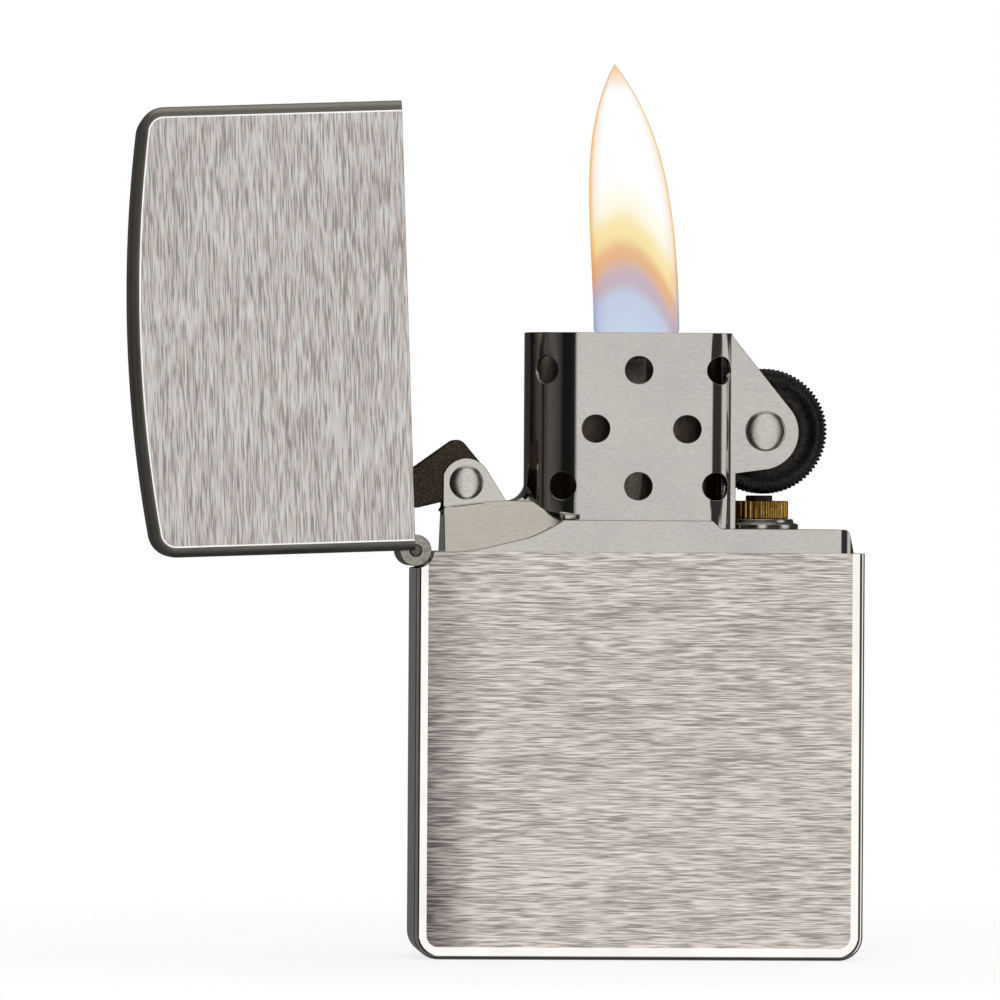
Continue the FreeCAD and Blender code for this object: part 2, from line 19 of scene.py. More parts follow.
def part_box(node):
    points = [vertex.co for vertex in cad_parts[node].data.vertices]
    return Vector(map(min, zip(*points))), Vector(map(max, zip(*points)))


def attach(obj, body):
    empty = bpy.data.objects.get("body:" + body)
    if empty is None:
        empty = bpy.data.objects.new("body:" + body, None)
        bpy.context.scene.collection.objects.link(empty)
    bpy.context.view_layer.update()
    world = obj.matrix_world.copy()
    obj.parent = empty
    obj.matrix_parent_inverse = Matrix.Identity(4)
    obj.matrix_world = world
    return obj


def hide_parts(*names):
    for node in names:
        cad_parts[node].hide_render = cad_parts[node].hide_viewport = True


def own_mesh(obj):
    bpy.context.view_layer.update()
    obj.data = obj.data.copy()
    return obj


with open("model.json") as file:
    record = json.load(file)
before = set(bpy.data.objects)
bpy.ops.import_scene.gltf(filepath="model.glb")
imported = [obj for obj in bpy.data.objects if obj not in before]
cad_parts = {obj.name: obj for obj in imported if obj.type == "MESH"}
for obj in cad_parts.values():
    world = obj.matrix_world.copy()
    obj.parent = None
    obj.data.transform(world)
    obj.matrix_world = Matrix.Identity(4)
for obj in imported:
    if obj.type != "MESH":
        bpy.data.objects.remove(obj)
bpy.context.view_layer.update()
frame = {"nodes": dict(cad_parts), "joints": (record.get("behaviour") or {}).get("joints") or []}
cad_nodes = frame["nodes"]
joints = {joint["name"]: joint for joint in frame["joints"]}
MM = 0.001
print("CAD pieces:", len(cad_nodes), "joints:", sorted(joints))


# %% [markdown]
# ## Reading sizes off the model
#
# Every piece has to land where the CAD model says. We could copy numbers, but a copied number goes
# stale, so the big sizes are read from the boxes of the CAD pieces and from the joints.
# The lid is modelled shut and then swung open as one rigid object. That keeps its own axes square to
# its own walls, which is what the brushed grain needs later.

# %% The main sizes
def corners(node):
    """The lowest and highest corners of a CAD piece, in millimetres."""
    low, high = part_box(node)
    return low / MM, high / MM


case_low, case_high = corners("case_body")
WIDTH = case_high.x - case_low.x
DEPTH = case_high.y - case_low.y
CASE_HEIGHT = case_high.z
HINGE = Vector(joints["lid_hinge"]["pos_m"]) / MM
OPEN_ANGLE = math.radians(-joints["lid_hinge"]["range_deg"][0])
to_hinge = Matrix.Translation(HINGE)
LID_SWING = to_hinge @ Matrix.Rotation(OPEN_ANGLE, 4, Vector((0, -1, 0))) @ to_hinge.inverted()
shut_lid = [LID_SWING.inverted() @ (vertex.co / MM) for vertex in cad_nodes["lid_shell"].data.vertices]
LID_RIM = min(point.z for point in shut_lid)
LID_HEIGHT = max(point.z for point in shut_lid) - LID_RIM
print("case %.2f x %.2f x %.2f mm, lid %.2f mm high" % (WIDTH, DEPTH, CASE_HEIGHT, LID_HEIGHT))


# %% [markdown]
# ## A small workshop of shape helpers
#
# Sheet metal parts are flat outlines with thickness, holes and bends. In Blender the quickest honest
# way to that is an outline of points pushed into a solid, and boolean cuts between such solids.
# The exact boolean solver gives clean edges, and a bevel afterwards breaks every sharp edge a little,
# as a real press or a polishing wheel does. Those tiny bevels are what catches the light.

# %% Outlines: arcs, circles and belts
def arc(centre, radius, start, end, steps):
    """Points along part of a circle. Angles are in radians."""
    angles = [start + (end - start) * step / steps for step in range(steps + 1)]
    return [(centre[0] + radius * math.cos(angle), centre[1] + radius * math.sin(angle))
            for angle in angles]


def circle(u, v, radius, steps=64):
    return arc((u, v), radius, 0, math.tau, steps)[:-1]


def rectangle(u0, u1, v0, v1):
    return [(u0, v0), (u1, v0), (u1, v1), (u0, v1)]


def belt(rounds, steps=20):
    """The outline of a belt drawn tight round circles (u, v, radius), counter-clockwise."""
    points = []
    count = len(rounds)
    for index, (u, v, radius) in enumerate(rounds):
        headings = []
        for first, second in ((index - 1, index), (index, (index + 1) % count)):
            u1, v1, r1 = rounds[first]
            u2, v2, r2 = rounds[second]
            length = math.hypot(u2 - u1, v2 - v1)
            lean = math.asin((r1 - r2) / length)
            headings.append(math.atan2(v2 - v1, u2 - u1) - math.pi / 2 + lean)
        turn = (headings[1] - headings[0]) % math.tau
        if radius > 0:
            points += arc((u, v), radius, headings[0], headings[0] + turn, steps)
        else:
            points.append((u, v))
    return points


def softened(outline, radii, steps=6):
    """The outline with a round of the given radius at each corner. A radius of 0 keeps it sharp."""
    points = []
    for index, (here, radius) in enumerate(zip(outline, radii)):
        here = Vector(here)
        back = (Vector(outline[index - 1]) - here).normalized()
        ahead = (Vector(outline[(index + 1) % len(outline)]) - here).normalized()
        if radius == 0:
            points.append(tuple(here))
            continue
        half = back.angle(ahead) / 2
        centre = here + (back + ahead).normalized() * (radius / math.sin(half))
        first = here + back * (radius / math.tan(half)) - centre
        last = here + ahead * (radius / math.tan(half)) - centre
        sweep = first.angle_signed(last)
        start = math.atan2(first.y, first.x)
        points += arc(centre, radius, start, start - sweep, steps)
    return points


print("a belt round two pulleys has", len(belt([(0, 0, 1), (5, 0, 2)])), "points")


# %% Solids from outlines
def solid(vertices, faces, finishes=None):
    """A closed mesh object from points in millimetres, with its faces turned outwards."""
    mesh = bpy.data.meshes.new("solid")
    mesh.from_pydata(vertices, [], faces)
    if finishes:
        mesh.polygons.foreach_set("material_index", finishes)
    made = bpy.data.objects.new("solid", mesh)
    bpy.context.scene.collection.objects.link(made)
    sheet_mesh = bmesh.new()
    sheet_mesh.from_mesh(mesh)
    bmesh.ops.recalc_face_normals(sheet_mesh, faces=sheet_mesh.faces)
    sheet_mesh.to_mesh(mesh)
    sheet_mesh.free()
    return made


def ring_faces(rows, count, closed=False):
    """The faces between rings of points that follow one another."""
    faces = []
    for row in range(rows if closed else rows - 1):
        below, above = row * count, (row + 1) % rows * count
        for index in range(count):
            following = (index + 1) % count
            faces.append([below + index, below + following, above + following, above + index])
    return faces


def end_caps(rows, count):
    """The two faces that close the first and the last ring."""
    return [list(range(count)), list(range((rows - 1) * count, rows * count))]


def skinned(sections):
    """A closed solid through a row of outlines that all have the same number of points."""
    rows, count = len(sections), len(sections[0])
    faces = end_caps(rows, count) + ring_faces(rows, count)
    return solid([point for section in sections for point in section], faces)


def extruded(outline, low, high, place):
    """An outline made thick. `place` turns (u, v, height) into a point."""
    count = len(outline)
    vertices = [place(u, v, height) for height in (low, high) for u, v in outline]
    faces = [list(range(count)), list(range(count, 2 * count))]
    for index in range(count):
        following = (index + 1) % count
        faces.append([index, following, count + following, count + index])
    return solid(vertices, faces)


def plate(outline, y0, y1):
    """An outline in the XZ plane, thick along Y."""
    return extruded(outline, y0, y1, lambda u, v, height: (u, height, v))


def block(outline, z0, z1):
    """An outline in the XY plane, thick along Z."""
    return extruded(outline, z0, z1, lambda u, v, height: (u, v, height))


def rod(x, z, radius, y0, y1, steps=64):
    return plate(circle(x, z, radius, steps), y0, y1)


def post(x, radius, z0, z1, steps=64):
    return block(circle(x, 0, radius, steps), z0, z1)


# A lathe profile stops this far short of its axis, so that its end is a small flat face.
LATHE_TIP = 0.02


def turned(profile, place, steps=72, closed=False):
    """A lathe piece. The profile holds (radius, along) pairs, and `place` sets the axis."""
    rows = len(profile)
    vertices = []
    for radius, along in profile:
        for step in range(steps):
            angle = math.tau * step / steps
            vertices.append(place(radius * math.cos(angle), radius * math.sin(angle), along))
    faces = ring_faces(rows, steps, closed)
    if not closed:
        faces += end_caps(rows, steps)
    return solid(vertices, faces)


def across(x, z):
    """Places a lathe piece on an axis along Y."""
    return lambda u, v, along: (x + u, along, z + v)


def upright(x):
    """Places a lathe piece on an axis along Z."""
    return lambda u, v, along: (x + u, v, along)


# %% Joining, cutting and finishing
def baked(made):
    """The object with its modifiers worked into its mesh."""
    graph = bpy.context.evaluated_depsgraph_get()
    old = made.data
    mesh = bpy.data.meshes.new_from_object(made.evaluated_get(graph))
    made.modifiers.clear()
    made.data = mesh
    bpy.data.meshes.remove(old)
    return made


def painted(made, finish):
    """The solid with every face given one of its piece's finishes."""
    made.data.polygons.foreach_set("material_index", [finish] * len(made.data.polygons))
    return made


def combined(first, others, operation, finish=None):
    """first with the others added ("UNION"), taken away ("DIFFERENCE") or shared ("INTERSECT")."""
    group = bpy.data.collections.new("operands")
    for other in others:
        group.objects.link(other)
        for material in first.data.materials:
            other.data.materials.append(material)
        if finish is not None:
            painted(other, finish)
    modifier = first.modifiers.new("join", "BOOLEAN")
    modifier.operation = operation
    modifier.solver = "EXACT"
    modifier.operand_type = "COLLECTION"
    modifier.collection = group
    baked(first)
    for other in others:
        bpy.data.objects.remove(other)
    bpy.data.collections.remove(group)
    return first


def joined(first, *others):
    return combined(first, others, "UNION")


def cut(first, *others, finish=None):
    return combined(first, others, "DIFFERENCE", finish)


def cleaned(made, flat_angle=0.4, near=0.004):
    """Merges near points and melts the needless edges that booleans leave in flat faces."""
    mesh = bmesh.new()
    mesh.from_mesh(made.data)
    bmesh.ops.remove_doubles(mesh, verts=mesh.verts, dist=near)
    bmesh.ops.dissolve_degenerate(mesh, edges=mesh.edges, dist=near)
    bmesh.ops.dissolve_limit(mesh, angle_limit=math.radians(flat_angle), verts=mesh.verts,
                             edges=mesh.edges, delimit={"MATERIAL"})
    bmesh.ops.recalc_face_normals(mesh, faces=mesh.faces)
    mesh.to_mesh(made.data)
    mesh.free()
    return made


def creased(made, least, most):
    """Keeps the shading apart across edges that bend by between two angles, in degrees."""
    mesh = bmesh.new()
    mesh.from_mesh(made.data)
    for edge in mesh.edges:
        if edge.is_manifold and math.radians(least) < edge.calc_face_angle() < math.radians(most):
            edge.smooth = False
    mesh.to_mesh(made.data)
    mesh.free()
    return made


def finished(made, name, body, materials, stands_for=(), bevel=0.05, sharp=32):
    """Names a piece, breaks its edges, dresses it, shrinks it to metres and hangs it on its body."""
    made.name = name
    made.data.name = name
    made.data.transform(Matrix.Scale(MM, 4))
    if not made.data.materials:
        for material in materials:
            made.data.materials.append(material)
    made.data.shade_smooth()
    if bevel:
        rounding = made.modifiers.new("broken_edges", "BEVEL")
        rounding.width = bevel * MM
        rounding.segments = 2
        rounding.limit_method = "ANGLE"
        rounding.angle_limit = math.radians(sharp)
        rounding.use_clamp_overlap = False
        rounding.harden_normals = False
    shading = made.modifiers.new("even_shading", "WEIGHTED_NORMAL")
    shading.keep_sharp = True
    shading.weight = 80
    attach(made, body)
    if stands_for:
        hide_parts(*stands_for)
    print("%-18s %6d faces, rides on %s" % (name, len(made.data.polygons), body))
    return made


# %% [markdown]
# ## Finishes
#
# A metal is mostly what it reflects, so the work is in how its surface breaks the reflection up.
# Each finish below is a Principled shader with noise driving its colour, roughness and bump.
# The noise is stretched along one axis for a brushed grain, left round for cast or tumbled metal.
# Object coordinates are in metres, so a scale of 1000 gives one noise cell per millimetre.

# %% Node helpers
def display(red, green, blue):
    """A colour as a screen shows it, 0 to 255, turned into the linear colour a shader wants."""
    linear = []
    for part in (red, green, blue):
        share = part / 255
        linear.append(share / 12.92 if share <= 0.04045 else ((share + 0.055) / 1.055) ** 2.4)
    return (*linear, 1.0)


def add(tree, kind, sockets=None, **settings):
    """A node with its settings and sockets filled in. A socket value may be another node's output."""
    node = tree.nodes.new(kind)
    for key, value in settings.items():
        setattr(node, key, value)
    for key, value in (sockets or {}).items():
        if isinstance(value, bpy.types.NodeSocket):
            tree.links.new(value, node.inputs[key])
        else:
            node.inputs[key].default_value = value
    return node


def maths(tree, operation, *values, clamp=False):
    node = add(tree, "ShaderNodeMath", dict(enumerate(values)), operation=operation, use_clamp=clamp)
    return node.outputs[0]


def ramp(tree, factor, stops, interpolation="LINEAR"):
    """A colour ramp through (position, colour) stops."""
    node = add(tree, "ShaderNodeValToRGB", {"Fac": factor})
    node.color_ramp.interpolation = interpolation
    elements = node.color_ramp.elements
    while len(elements) < len(stops):
        elements.new(0.5)
    for element, (position, colour) in zip(elements, stops):
        element.position = position
        element.color = colour
    return node.outputs["Color"]


def mixed(tree, factor, first, second):
    """One colour fading into another."""
    return add(tree, "ShaderNodeMix", {0: factor, 6: first, 7: second}, data_type="RGBA").outputs[2]


def spread(tree, value, low, high):
    """A value from 0 to 1 mapped onto a range, such as a roughness."""
    node = add(tree, "ShaderNodeMapRange", {"Value": value, "To Min": low, "To Max": high})
    return node.outputs["Result"]


def grain(tree, scale, detail=4.0, roughness=0.55, distortion=0.0, shift=(0.0, 0.0, 0.0)):
    """Noise whose cells are 1000 / scale millimetres along each of the object's own axes."""
    place = add(tree, "ShaderNodeTexCoord").outputs["Object"]
    mapping = add(tree, "ShaderNodeMapping", {"Vector": place, "Scale": scale, "Location": shift})
    cells = {"Vector": mapping.outputs[0], "Scale": 1.0, "Detail": detail,
             "Roughness": roughness, "Distortion": distortion}
    return add(tree, "ShaderNodeTexNoise", cells).outputs["Fac"]


def new_finish(name, **constants):
    """A material with its shader. Constants such as metallic=1.0 go straight onto the shader."""
    made = bpy.data.materials.new(name)
    made.use_nodes = True
    shader = made.node_tree.nodes["Principled BSDF"]
    for key, value in constants.items():
        shader.inputs[key.replace("_", " ").title()].default_value = value
    print("finish", name)
    return made, made.node_tree, shader


def drive(tree, shader, colour=None, roughness=None, height=None, depth=0.01, strength=1.0):
    """Links a finish's varying parts. `depth` is how deep the relief is, in millimetres."""
    if colour is not None:
        tree.links.new(colour, shader.inputs["Base Color"])
    if roughness is not None:
        tree.links.new(roughness, shader.inputs["Roughness"])
    if height is not None:
        relief = add(tree, "ShaderNodeBump", {"Height": height, "Distance": depth * MM,
                                              "Strength": strength})
        tree.links.new(relief.outputs["Normal"], shader.inputs["Normal"])


# %% [markdown]
# ### Brushed chrome
#
# The flat faces of both cans are satin brushed from side to side, so the streaks run along X.
# The grain could be an image, but stretched noise has no seams and stays sharp at any distance.
# Three layers are added: hair-fine scratches, longer and softer bands, and slow cloudy patches where
# fingers and cloth have changed the tone. The shader's anisotropy spreads highlights across the grain.

# %% Brushed chrome for the flat faces
def make_brushed_chrome(name, middle, anisotropic, painted_shade):
    """`middle` is the usual tone. The last argument is how strongly a painted shade darkens the colour
    towards the hinge side's foot, standing in for a dark reflection there.
    """
    made, tree, shader = new_finish(name, metallic=1.0, anisotropic=anisotropic)
    shader.inputs["Anisotropic Rotation"].default_value = 0.25
    tangent = add(tree, "ShaderNodeTangent", direction_type="RADIAL", axis="Z")
    tree.links.new(tangent.outputs[0], shader.inputs["Tangent"])
    hair = grain(tree, (560, 560, 11500), detail=1.0, roughness=0.5, distortion=0.1)
    bands = grain(tree, (240, 240, 7200), detail=2.0, roughness=0.6, shift=(3, 1, 7))
    clouds = grain(tree, (60, 60, 110), detail=3.0, shift=(9, 2, 4))
    streaks = maths(tree, "ADD", maths(tree, "MULTIPLY", hair, 0.86), maths(tree, "MULTIPLY", bands, 0.14))
    tone = maths(tree, "ADD", maths(tree, "MULTIPLY", streaks, 0.94), maths(tree, "MULTIPLY", clouds, 0.06))
    low, high = [part * 0.78 for part in middle], [min(255, part * 1.15) for part in middle]
    colour = ramp(tree, tone, [(0.36, display(*low)), (0.50, display(*middle)), (0.64, display(*high))])
    # Painted shade: the colour darkens towards the lower corner on the hinge side, standing in for the dark
    # reflection there.
    if painted_shade:
        place = add(tree, "ShaderNodeSeparateXYZ", {0: add(tree, "ShaderNodeTexCoord").outputs["Object"]})
        inwards = add(tree, "ShaderNodeMapRange", {"Value": place.outputs["X"], "From Min": -17.2 * MM,
                                                   "From Max": -13.6 * MM, "To Min": 1.0, "To Max": 0.0})
        downwards = add(tree, "ShaderNodeMapRange", {"Value": place.outputs["Z"], "From Min": 1.0 * MM,
                                                     "From Max": 31.0 * MM, "To Min": 1.0, "To Max": 0.4})
        ragged = ramp(tree, hair, [(0.38, (1, 1, 1, 1)), (0.62, (0.7, 0.7, 0.7, 1))])
        shaded_corner = maths(tree, "MULTIPLY", maths(tree, "POWER", inwards.outputs["Result"], 0.8),
                        downwards.outputs["Result"])
        shaded_corner = maths(tree, "MULTIPLY", shaded_corner, ragged)
        # display(66, 58, 56) is the tone of the painted shade.
        colour = mixed(tree, maths(tree, "MULTIPLY", shaded_corner, painted_shade), colour, display(66, 58, 56))
    drive(tree, shader, colour, spread(tree, tone, 0.44, 0.26), streaks, depth=0.0025)
    return made


# The case's brushed chrome gets the full painted shade at its hinge-side foot.
brushed_chrome = make_brushed_chrome("brushed_chrome", (210, 201, 194), 0.75, 1.0)
# Painted light: the lid is the same brushed chrome as the case, given a lighter tone so the open lid reads
# as bright, and without the painted shade.
lid_chrome_painted_lighter = make_brushed_chrome("lid_chrome_painted_lighter", (243, 233, 226), 0.45, 0.0)


# %% [markdown]
# ### Polished chrome
#
# The rolled edges and the narrow sides are buffed to a mirror. A perfect mirror looks like a computer
# picture, so the roughness wanders a little and faint hairlines cross the surface at random.

# %% Polished chrome for the rolled edges
def make_polished_chrome(name, rough, tone):
    made, tree, shader = new_finish(name, metallic=1.0)
    smears = grain(tree, (220, 220, 220), detail=5.0, distortion=0.6)
    hairlines = grain(tree, (900, 2600, 5200), detail=2.0, shift=(5, 8, 1))
    light, dark = display(*tone), display(*[part * 0.93 for part in tone])
    drive(tree, shader, ramp(tree, smears, [(0.3, dark), (0.7, light)]),
          spread(tree, smears, rough * 0.6, rough * 1.5), hairlines, depth=0.0012)
    return made


polished_chrome = make_polished_chrome("polished_chrome", 0.06, (248, 245, 239))
# Painted shade: the lid's rolled edges are the same polished chrome as the case's, given a dark grey tone
# for the shade they show.
lid_edge_chrome_painted_darker = make_polished_chrome("lid_edge_chrome_painted_darker", 0.50, (164, 160, 151))


# %% [markdown]
# ### Plain steels
#
# Inside the cans the metal was never polished. The insert is bright rolled sheet with a faint grain
# from the mill, the hinge is duller, and the cam has a blue-black oxide that wears off in specks.
# One function makes them all, because they differ only in tone, speck size and roughness.

# %% Steels
def make_steel(name, dark, light, rough, cell, stretch=(1, 1, 1), depth=0.002, specks=0.0):
    """Metal with mottled tone. `cell` is the speck size in millimetres."""
    made, tree, shader = new_finish(name, metallic=1.0)
    scale = tuple(1000 / (cell * factor) for factor in stretch)
    mottle = grain(tree, scale, detail=5.0, roughness=0.6)
    patches = grain(tree, (130, 130, 130), detail=3.0, shift=(2, 6, 3))
    tone = maths(tree, "ADD", maths(tree, "MULTIPLY", mottle, 0.7), maths(tree, "MULTIPLY", patches, 0.3))
    colour = ramp(tree, tone, [(0.36, display(*dark)), (0.64, display(*light))])
    if specks:
        dots = grain(tree, (9000, 9000, 9000), detail=1.0, shift=(4, 4, 9))
        bare = ramp(tree, dots, [(1 - specks, (0, 0, 0, 1)), (1 - specks + 0.08, (1, 1, 1, 1))])
        colour = mixed(tree, bare, colour, display(138, 124, 106))
    drive(tree, shader, colour, spread(tree, tone, rough * 0.7, rough * 1.35), mottle, depth=depth)
    return made


inside_satin = make_steel("inside_satin", (150, 147, 142), (196, 192, 186), 0.34, 0.25, (1, 1, 4))
insert_steel = make_steel("insert_steel", (174, 169, 164), (190, 185, 179), 0.10, 0.10, (5, 5, 1), 0.0003)
# Soot and painted shade: dark steel for the chimney's inside, where the flame leaves soot, and for the
# inside of the tank and saddle, where the dark stands in for shade.
soot_and_shade_steel = make_steel("soot_and_shade_steel", (70, 63, 54), (112, 102, 90), 0.30, 0.35, (1, 1, 3), 0.002)
hinge_steel = make_steel("hinge_steel", (120, 117, 110), (176, 172, 163), 0.26, 0.3)
pin_steel = make_steel("pin_steel", (88, 84, 78), (132, 127, 118), 0.35, 0.2)
rivet_steel = make_steel("rivet_steel", (176, 172, 164), (204, 200, 192), 0.18, 0.22, depth=0.003)
oxide_steel = make_steel("blackened_steel", (46, 40, 33), (92, 82, 70), 0.48, 0.12, depth=0.012,
                         specks=0.40)
wheel_steel = make_steel("wheel_steel", (34, 33, 32), (78, 76, 72), 0.42, 0.22, depth=0.010)
spring_steel = make_steel("spring_steel", (110, 112, 116), (168, 168, 166), 0.28, 0.4)
barrel_steel = make_steel("barrel_steel", (60, 55, 50), (118, 110, 100), 0.36, 0.3, depth=0.006)
flint_alloy = make_steel("flint_alloy", (62, 60, 60), (108, 104, 100), 0.62, 0.12, depth=0.02)


# %% [markdown]
# ### Brass
#
# The collar round the flint barrel is turned brass. Real brass browns where hands and heat reach it,
# so its clean gold gives way to a darker tarnish in soft patches.

# %% Brass with tarnish
def make_brass():
    made, tree, shader = new_finish("brass", metallic=1.0)
    patches = grain(tree, (900, 900, 520), detail=5.0, roughness=0.65)
    turning = grain(tree, (300, 300, 9000), detail=2.0, shift=(1, 1, 5))
    colour = ramp(tree, patches, [(0.34, display(112, 78, 40)), (0.50, display(196, 150, 78)),
                                  (0.68, display(244, 208, 128))])
    drive(tree, shader, colour, spread(tree, patches, 0.42, 0.16), turning, depth=0.003)
    return made


brass = make_brass()


# %% [markdown]
# ### Cotton, felt and the wick
#
# The tank is stuffed with cotton wadding over a felt pad, and a braided wick runs through both.
# Soft fibre scatters light sideways, which the sheen settings give. The charred end of the wick is
# dark, so its colour follows the height along the wick.

# %% Fibres
def make_fibre(name, dark, light, cell, sheen, depth):
    made, tree, shader = new_finish(name, roughness=0.95, sheen_weight=sheen, sheen_roughness=0.6)
    tufts = grain(tree, (1000 / cell,) * 3, detail=8.0, roughness=0.7, distortion=1.2)
    drive(tree, shader, ramp(tree, tufts, [(0.3, display(*dark)), (0.7, display(*light))]), None,
          tufts, depth=depth)
    return made


wadding = make_fibre("cotton_wadding", (205, 198, 184), (246, 243, 236), 0.7, 0.5, 0.15)
felt = make_fibre("felt", (96, 94, 92), (150, 147, 142), 0.35, 0.6, 0.10)


def make_wick_finish(top, charred):
    made, tree, shader = new_finish("wick_braid", roughness=0.9, sheen_weight=0.3)
    fibres = grain(tree, (3200, 3200, 3200), detail=6.0, distortion=0.8)
    height = add(tree, "ShaderNodeSeparateXYZ", {0: add(tree, "ShaderNodeTexCoord").outputs["Object"]})
    burnt = add(tree, "ShaderNodeMapRange", {"Value": height.outputs["Z"], "From Min": (top - charred) * MM,
                                             "From Max": top * MM}).outputs["Result"]
    clean = ramp(tree, fibres, [(0.3, display(188, 178, 156)), (0.7, display(238, 232, 216))])
    soot = ramp(tree, fibres, [(0.3, display(14, 12, 11)), (0.7, display(52, 44, 38))])
    drive(tree, shader, mixed(tree, burnt, clean, soot), None, fibres, depth=0.06)
    return made


# %% [markdown]
# ## The two cans
#
# The case and the lid are each deep drawn from one sheet, so they are thin shells with rolled edges.
# A beveled cube would give one radius everywhere. The real cans have three: a tight roll between face
# and side, a larger corner in the outline, and a slow crown over the lid. So the outline is drawn
# once as a formula of how far in from the outside it lies, and the shell is a stack of such outlines
# from the front face round to the back. The same rule, moved in by the wall, makes the inside.

# %% One drawn can
WALL = 0.65
CAN_FINISHES = (brushed_chrome, polished_chrome, inside_satin, polished_chrome)
BRUSHED, POLISHED, INSIDE, STRIP = range(4)


def can_outline(inset, height, corner, crown, crown_steps):
    """From the left rim up, over the closed end and down to the right rim, `inset` inside the outline."""
    half = WIDTH / 2
    crown_z = height - crown
    corner_x = half - corner
    corner_z = crown_z + math.sqrt((crown - corner) ** 2 - corner_x ** 2)
    lean = math.atan2(corner_z - crown_z, -corner_x)
    left = arc((-corner_x, corner_z), corner - inset, math.pi, lean, 12)
    over = arc((0, crown_z), crown - inset, lean, math.pi - lean, crown_steps)
    right = arc((corner_x, corner_z), corner - inset, math.pi - lean, 0, 12)
    return [(inset - half, 0)] + left + over[1:-1] + right + [(half - inset, 0)]


def rolled_edge(radius, inset, strip, steps=10):
    """(inset, y) from the flat front face, round its rolled edge and on to the back face."""
    front = [(inset + radius + strip, inset - DEPTH / 2)]
    for step in range(steps + 1):
        angle = math.pi / 2 * step / steps
        lift = radius * (1 - math.cos(angle))
        front.append((inset + radius * (1 - math.sin(angle)), inset + lift - DEPTH / 2))
    return front + [(inside, -y) for inside, y in reversed(front)]


def can(height, corner, crown, edge, strip, crown_steps, materials):
    """A thin shell, closed above and open at z = 0. A polished strip frames its brushed faces."""
    skins = []
    for inset, radius in ((0, edge), (WALL, max(edge - WALL, 0.1))):
        skins.append([[(x, y, z) for x, z in can_outline(inside, height, corner, crown, crown_steps)]
                      for inside, y in rolled_edge(radius, inset, strip)])
    rows, columns = len(skins[0]), len(skins[0][0])
    vertices = [point for skin in skins for ring in skin for point in ring]

    def at(skin, row, column):
        return (skin * rows + row) * columns + column

    faces, finishes = [], []
    for skin in (0, 1):
        for row in range(rows - 1):
            for column in range(columns - 1):
                faces.append([at(skin, row, column), at(skin, row, column + 1),
                              at(skin, row + 1, column + 1), at(skin, row + 1, column)])
                frames_face = row in (0, rows - 2)
                finishes.append(INSIDE if skin else STRIP if frames_face else POLISHED)
        for row in (0, rows - 1):
            faces.append([at(skin, row, column) for column in range(columns)])
            finishes.append(INSIDE if skin else BRUSHED)
    last = columns - 1
    for row in (0, rows - 1):
        faces.append([at(0, row, 0), at(0, row, last), at(1, row, last), at(1, row, 0)])
        finishes.append(POLISHED)
    for column in (0, last):
        for row in range(rows - 1):
            faces.append([at(0, row, column), at(0, row + 1, column),
                          at(1, row + 1, column), at(1, row, column)])
            finishes.append(POLISHED)
    made = solid(vertices, faces, finishes)
    for material in materials:
        made.data.materials.append(material)
    return made


# %% The case and the lid
NOTCH_RADIUS = 1.45
CASE_CORNER = 2.0
CASE_EDGE = 0.48
CASE_STRIP = 0.55
LID_CORNER = 2.1
LID_EDGE = 0.80
LID_STRIP = 0.12
LID_CROWN = 115.0
FLAT_CROWN = 1e5


def make_case():
    shell = can(CASE_HEIGHT, CASE_CORNER, FLAT_CROWN, CASE_EDGE, CASE_STRIP, 1, CAN_FINISHES)
    stand = Matrix.Translation((0, 0, CASE_HEIGHT)) @ Matrix.Rotation(math.pi, 4, "X")
    shell.data.transform(stand)
    shell = cut(shell, rod(HINGE.x, HINGE.z, NOTCH_RADIUS, -DEPTH, DEPTH), finish=INSIDE)
    return finished(cleaned(shell), "case_can", "case", CAN_FINISHES, ["case_body"])


def make_lid():
    # The lid's brushed and rolled-edge finishes are copies of the case's, painted lighter and darker for
    # how light falls on the open lid.
    finishes = (lid_chrome_painted_lighter, lid_edge_chrome_painted_darker, inside_satin, polished_chrome)
    shell = can(LID_HEIGHT, LID_CORNER, LID_CROWN, LID_EDGE, LID_STRIP, 24, finishes)
    shell.data.transform(Matrix.Translation((0, 0, LID_RIM)))
    reach = DEPTH / 2 - WALL
    shell = cut(shell, rod(HINGE.x, HINGE.z, NOTCH_RADIUS, -reach, reach), finish=INSIDE)
    swing = Matrix.Scale(MM, 4) @ LID_SWING @ Matrix.Scale(1 / MM, 4)
    shell.matrix_world = swing
    return finished(cleaned(shell), "lid_can", "lid", finishes, ["lid_shell"])


make_case()
make_lid()


# %% [markdown]
# ## The hinge
#
# Two leaves are spot welded inside the cans. Each leaf curls into knuckles, the knuckles interleave,
# and a pin runs through all five. The knuckles are plain rolled tubes, so a union of round bars with
# the leaf, then a bore, is the shortest true description. The lid's leaf is made shut and turned open.

# %% Hinge leaves and pin
BARREL_RADIUS = 1.30
BARREL_LENGTH = 11.2
KNUCKLES = 5
KNUCKLE_GAP = 0.08
LEAF_THICKNESS = 0.50
LEAF_HALF_WIDTH = 5.2
PIN_RADIUS = 0.50
PIN_CLEARANCE = 0.03
leaf_low = corners("case_hinge_leaf")[0]
pin_low, pin_high = corners("hinge_pin")


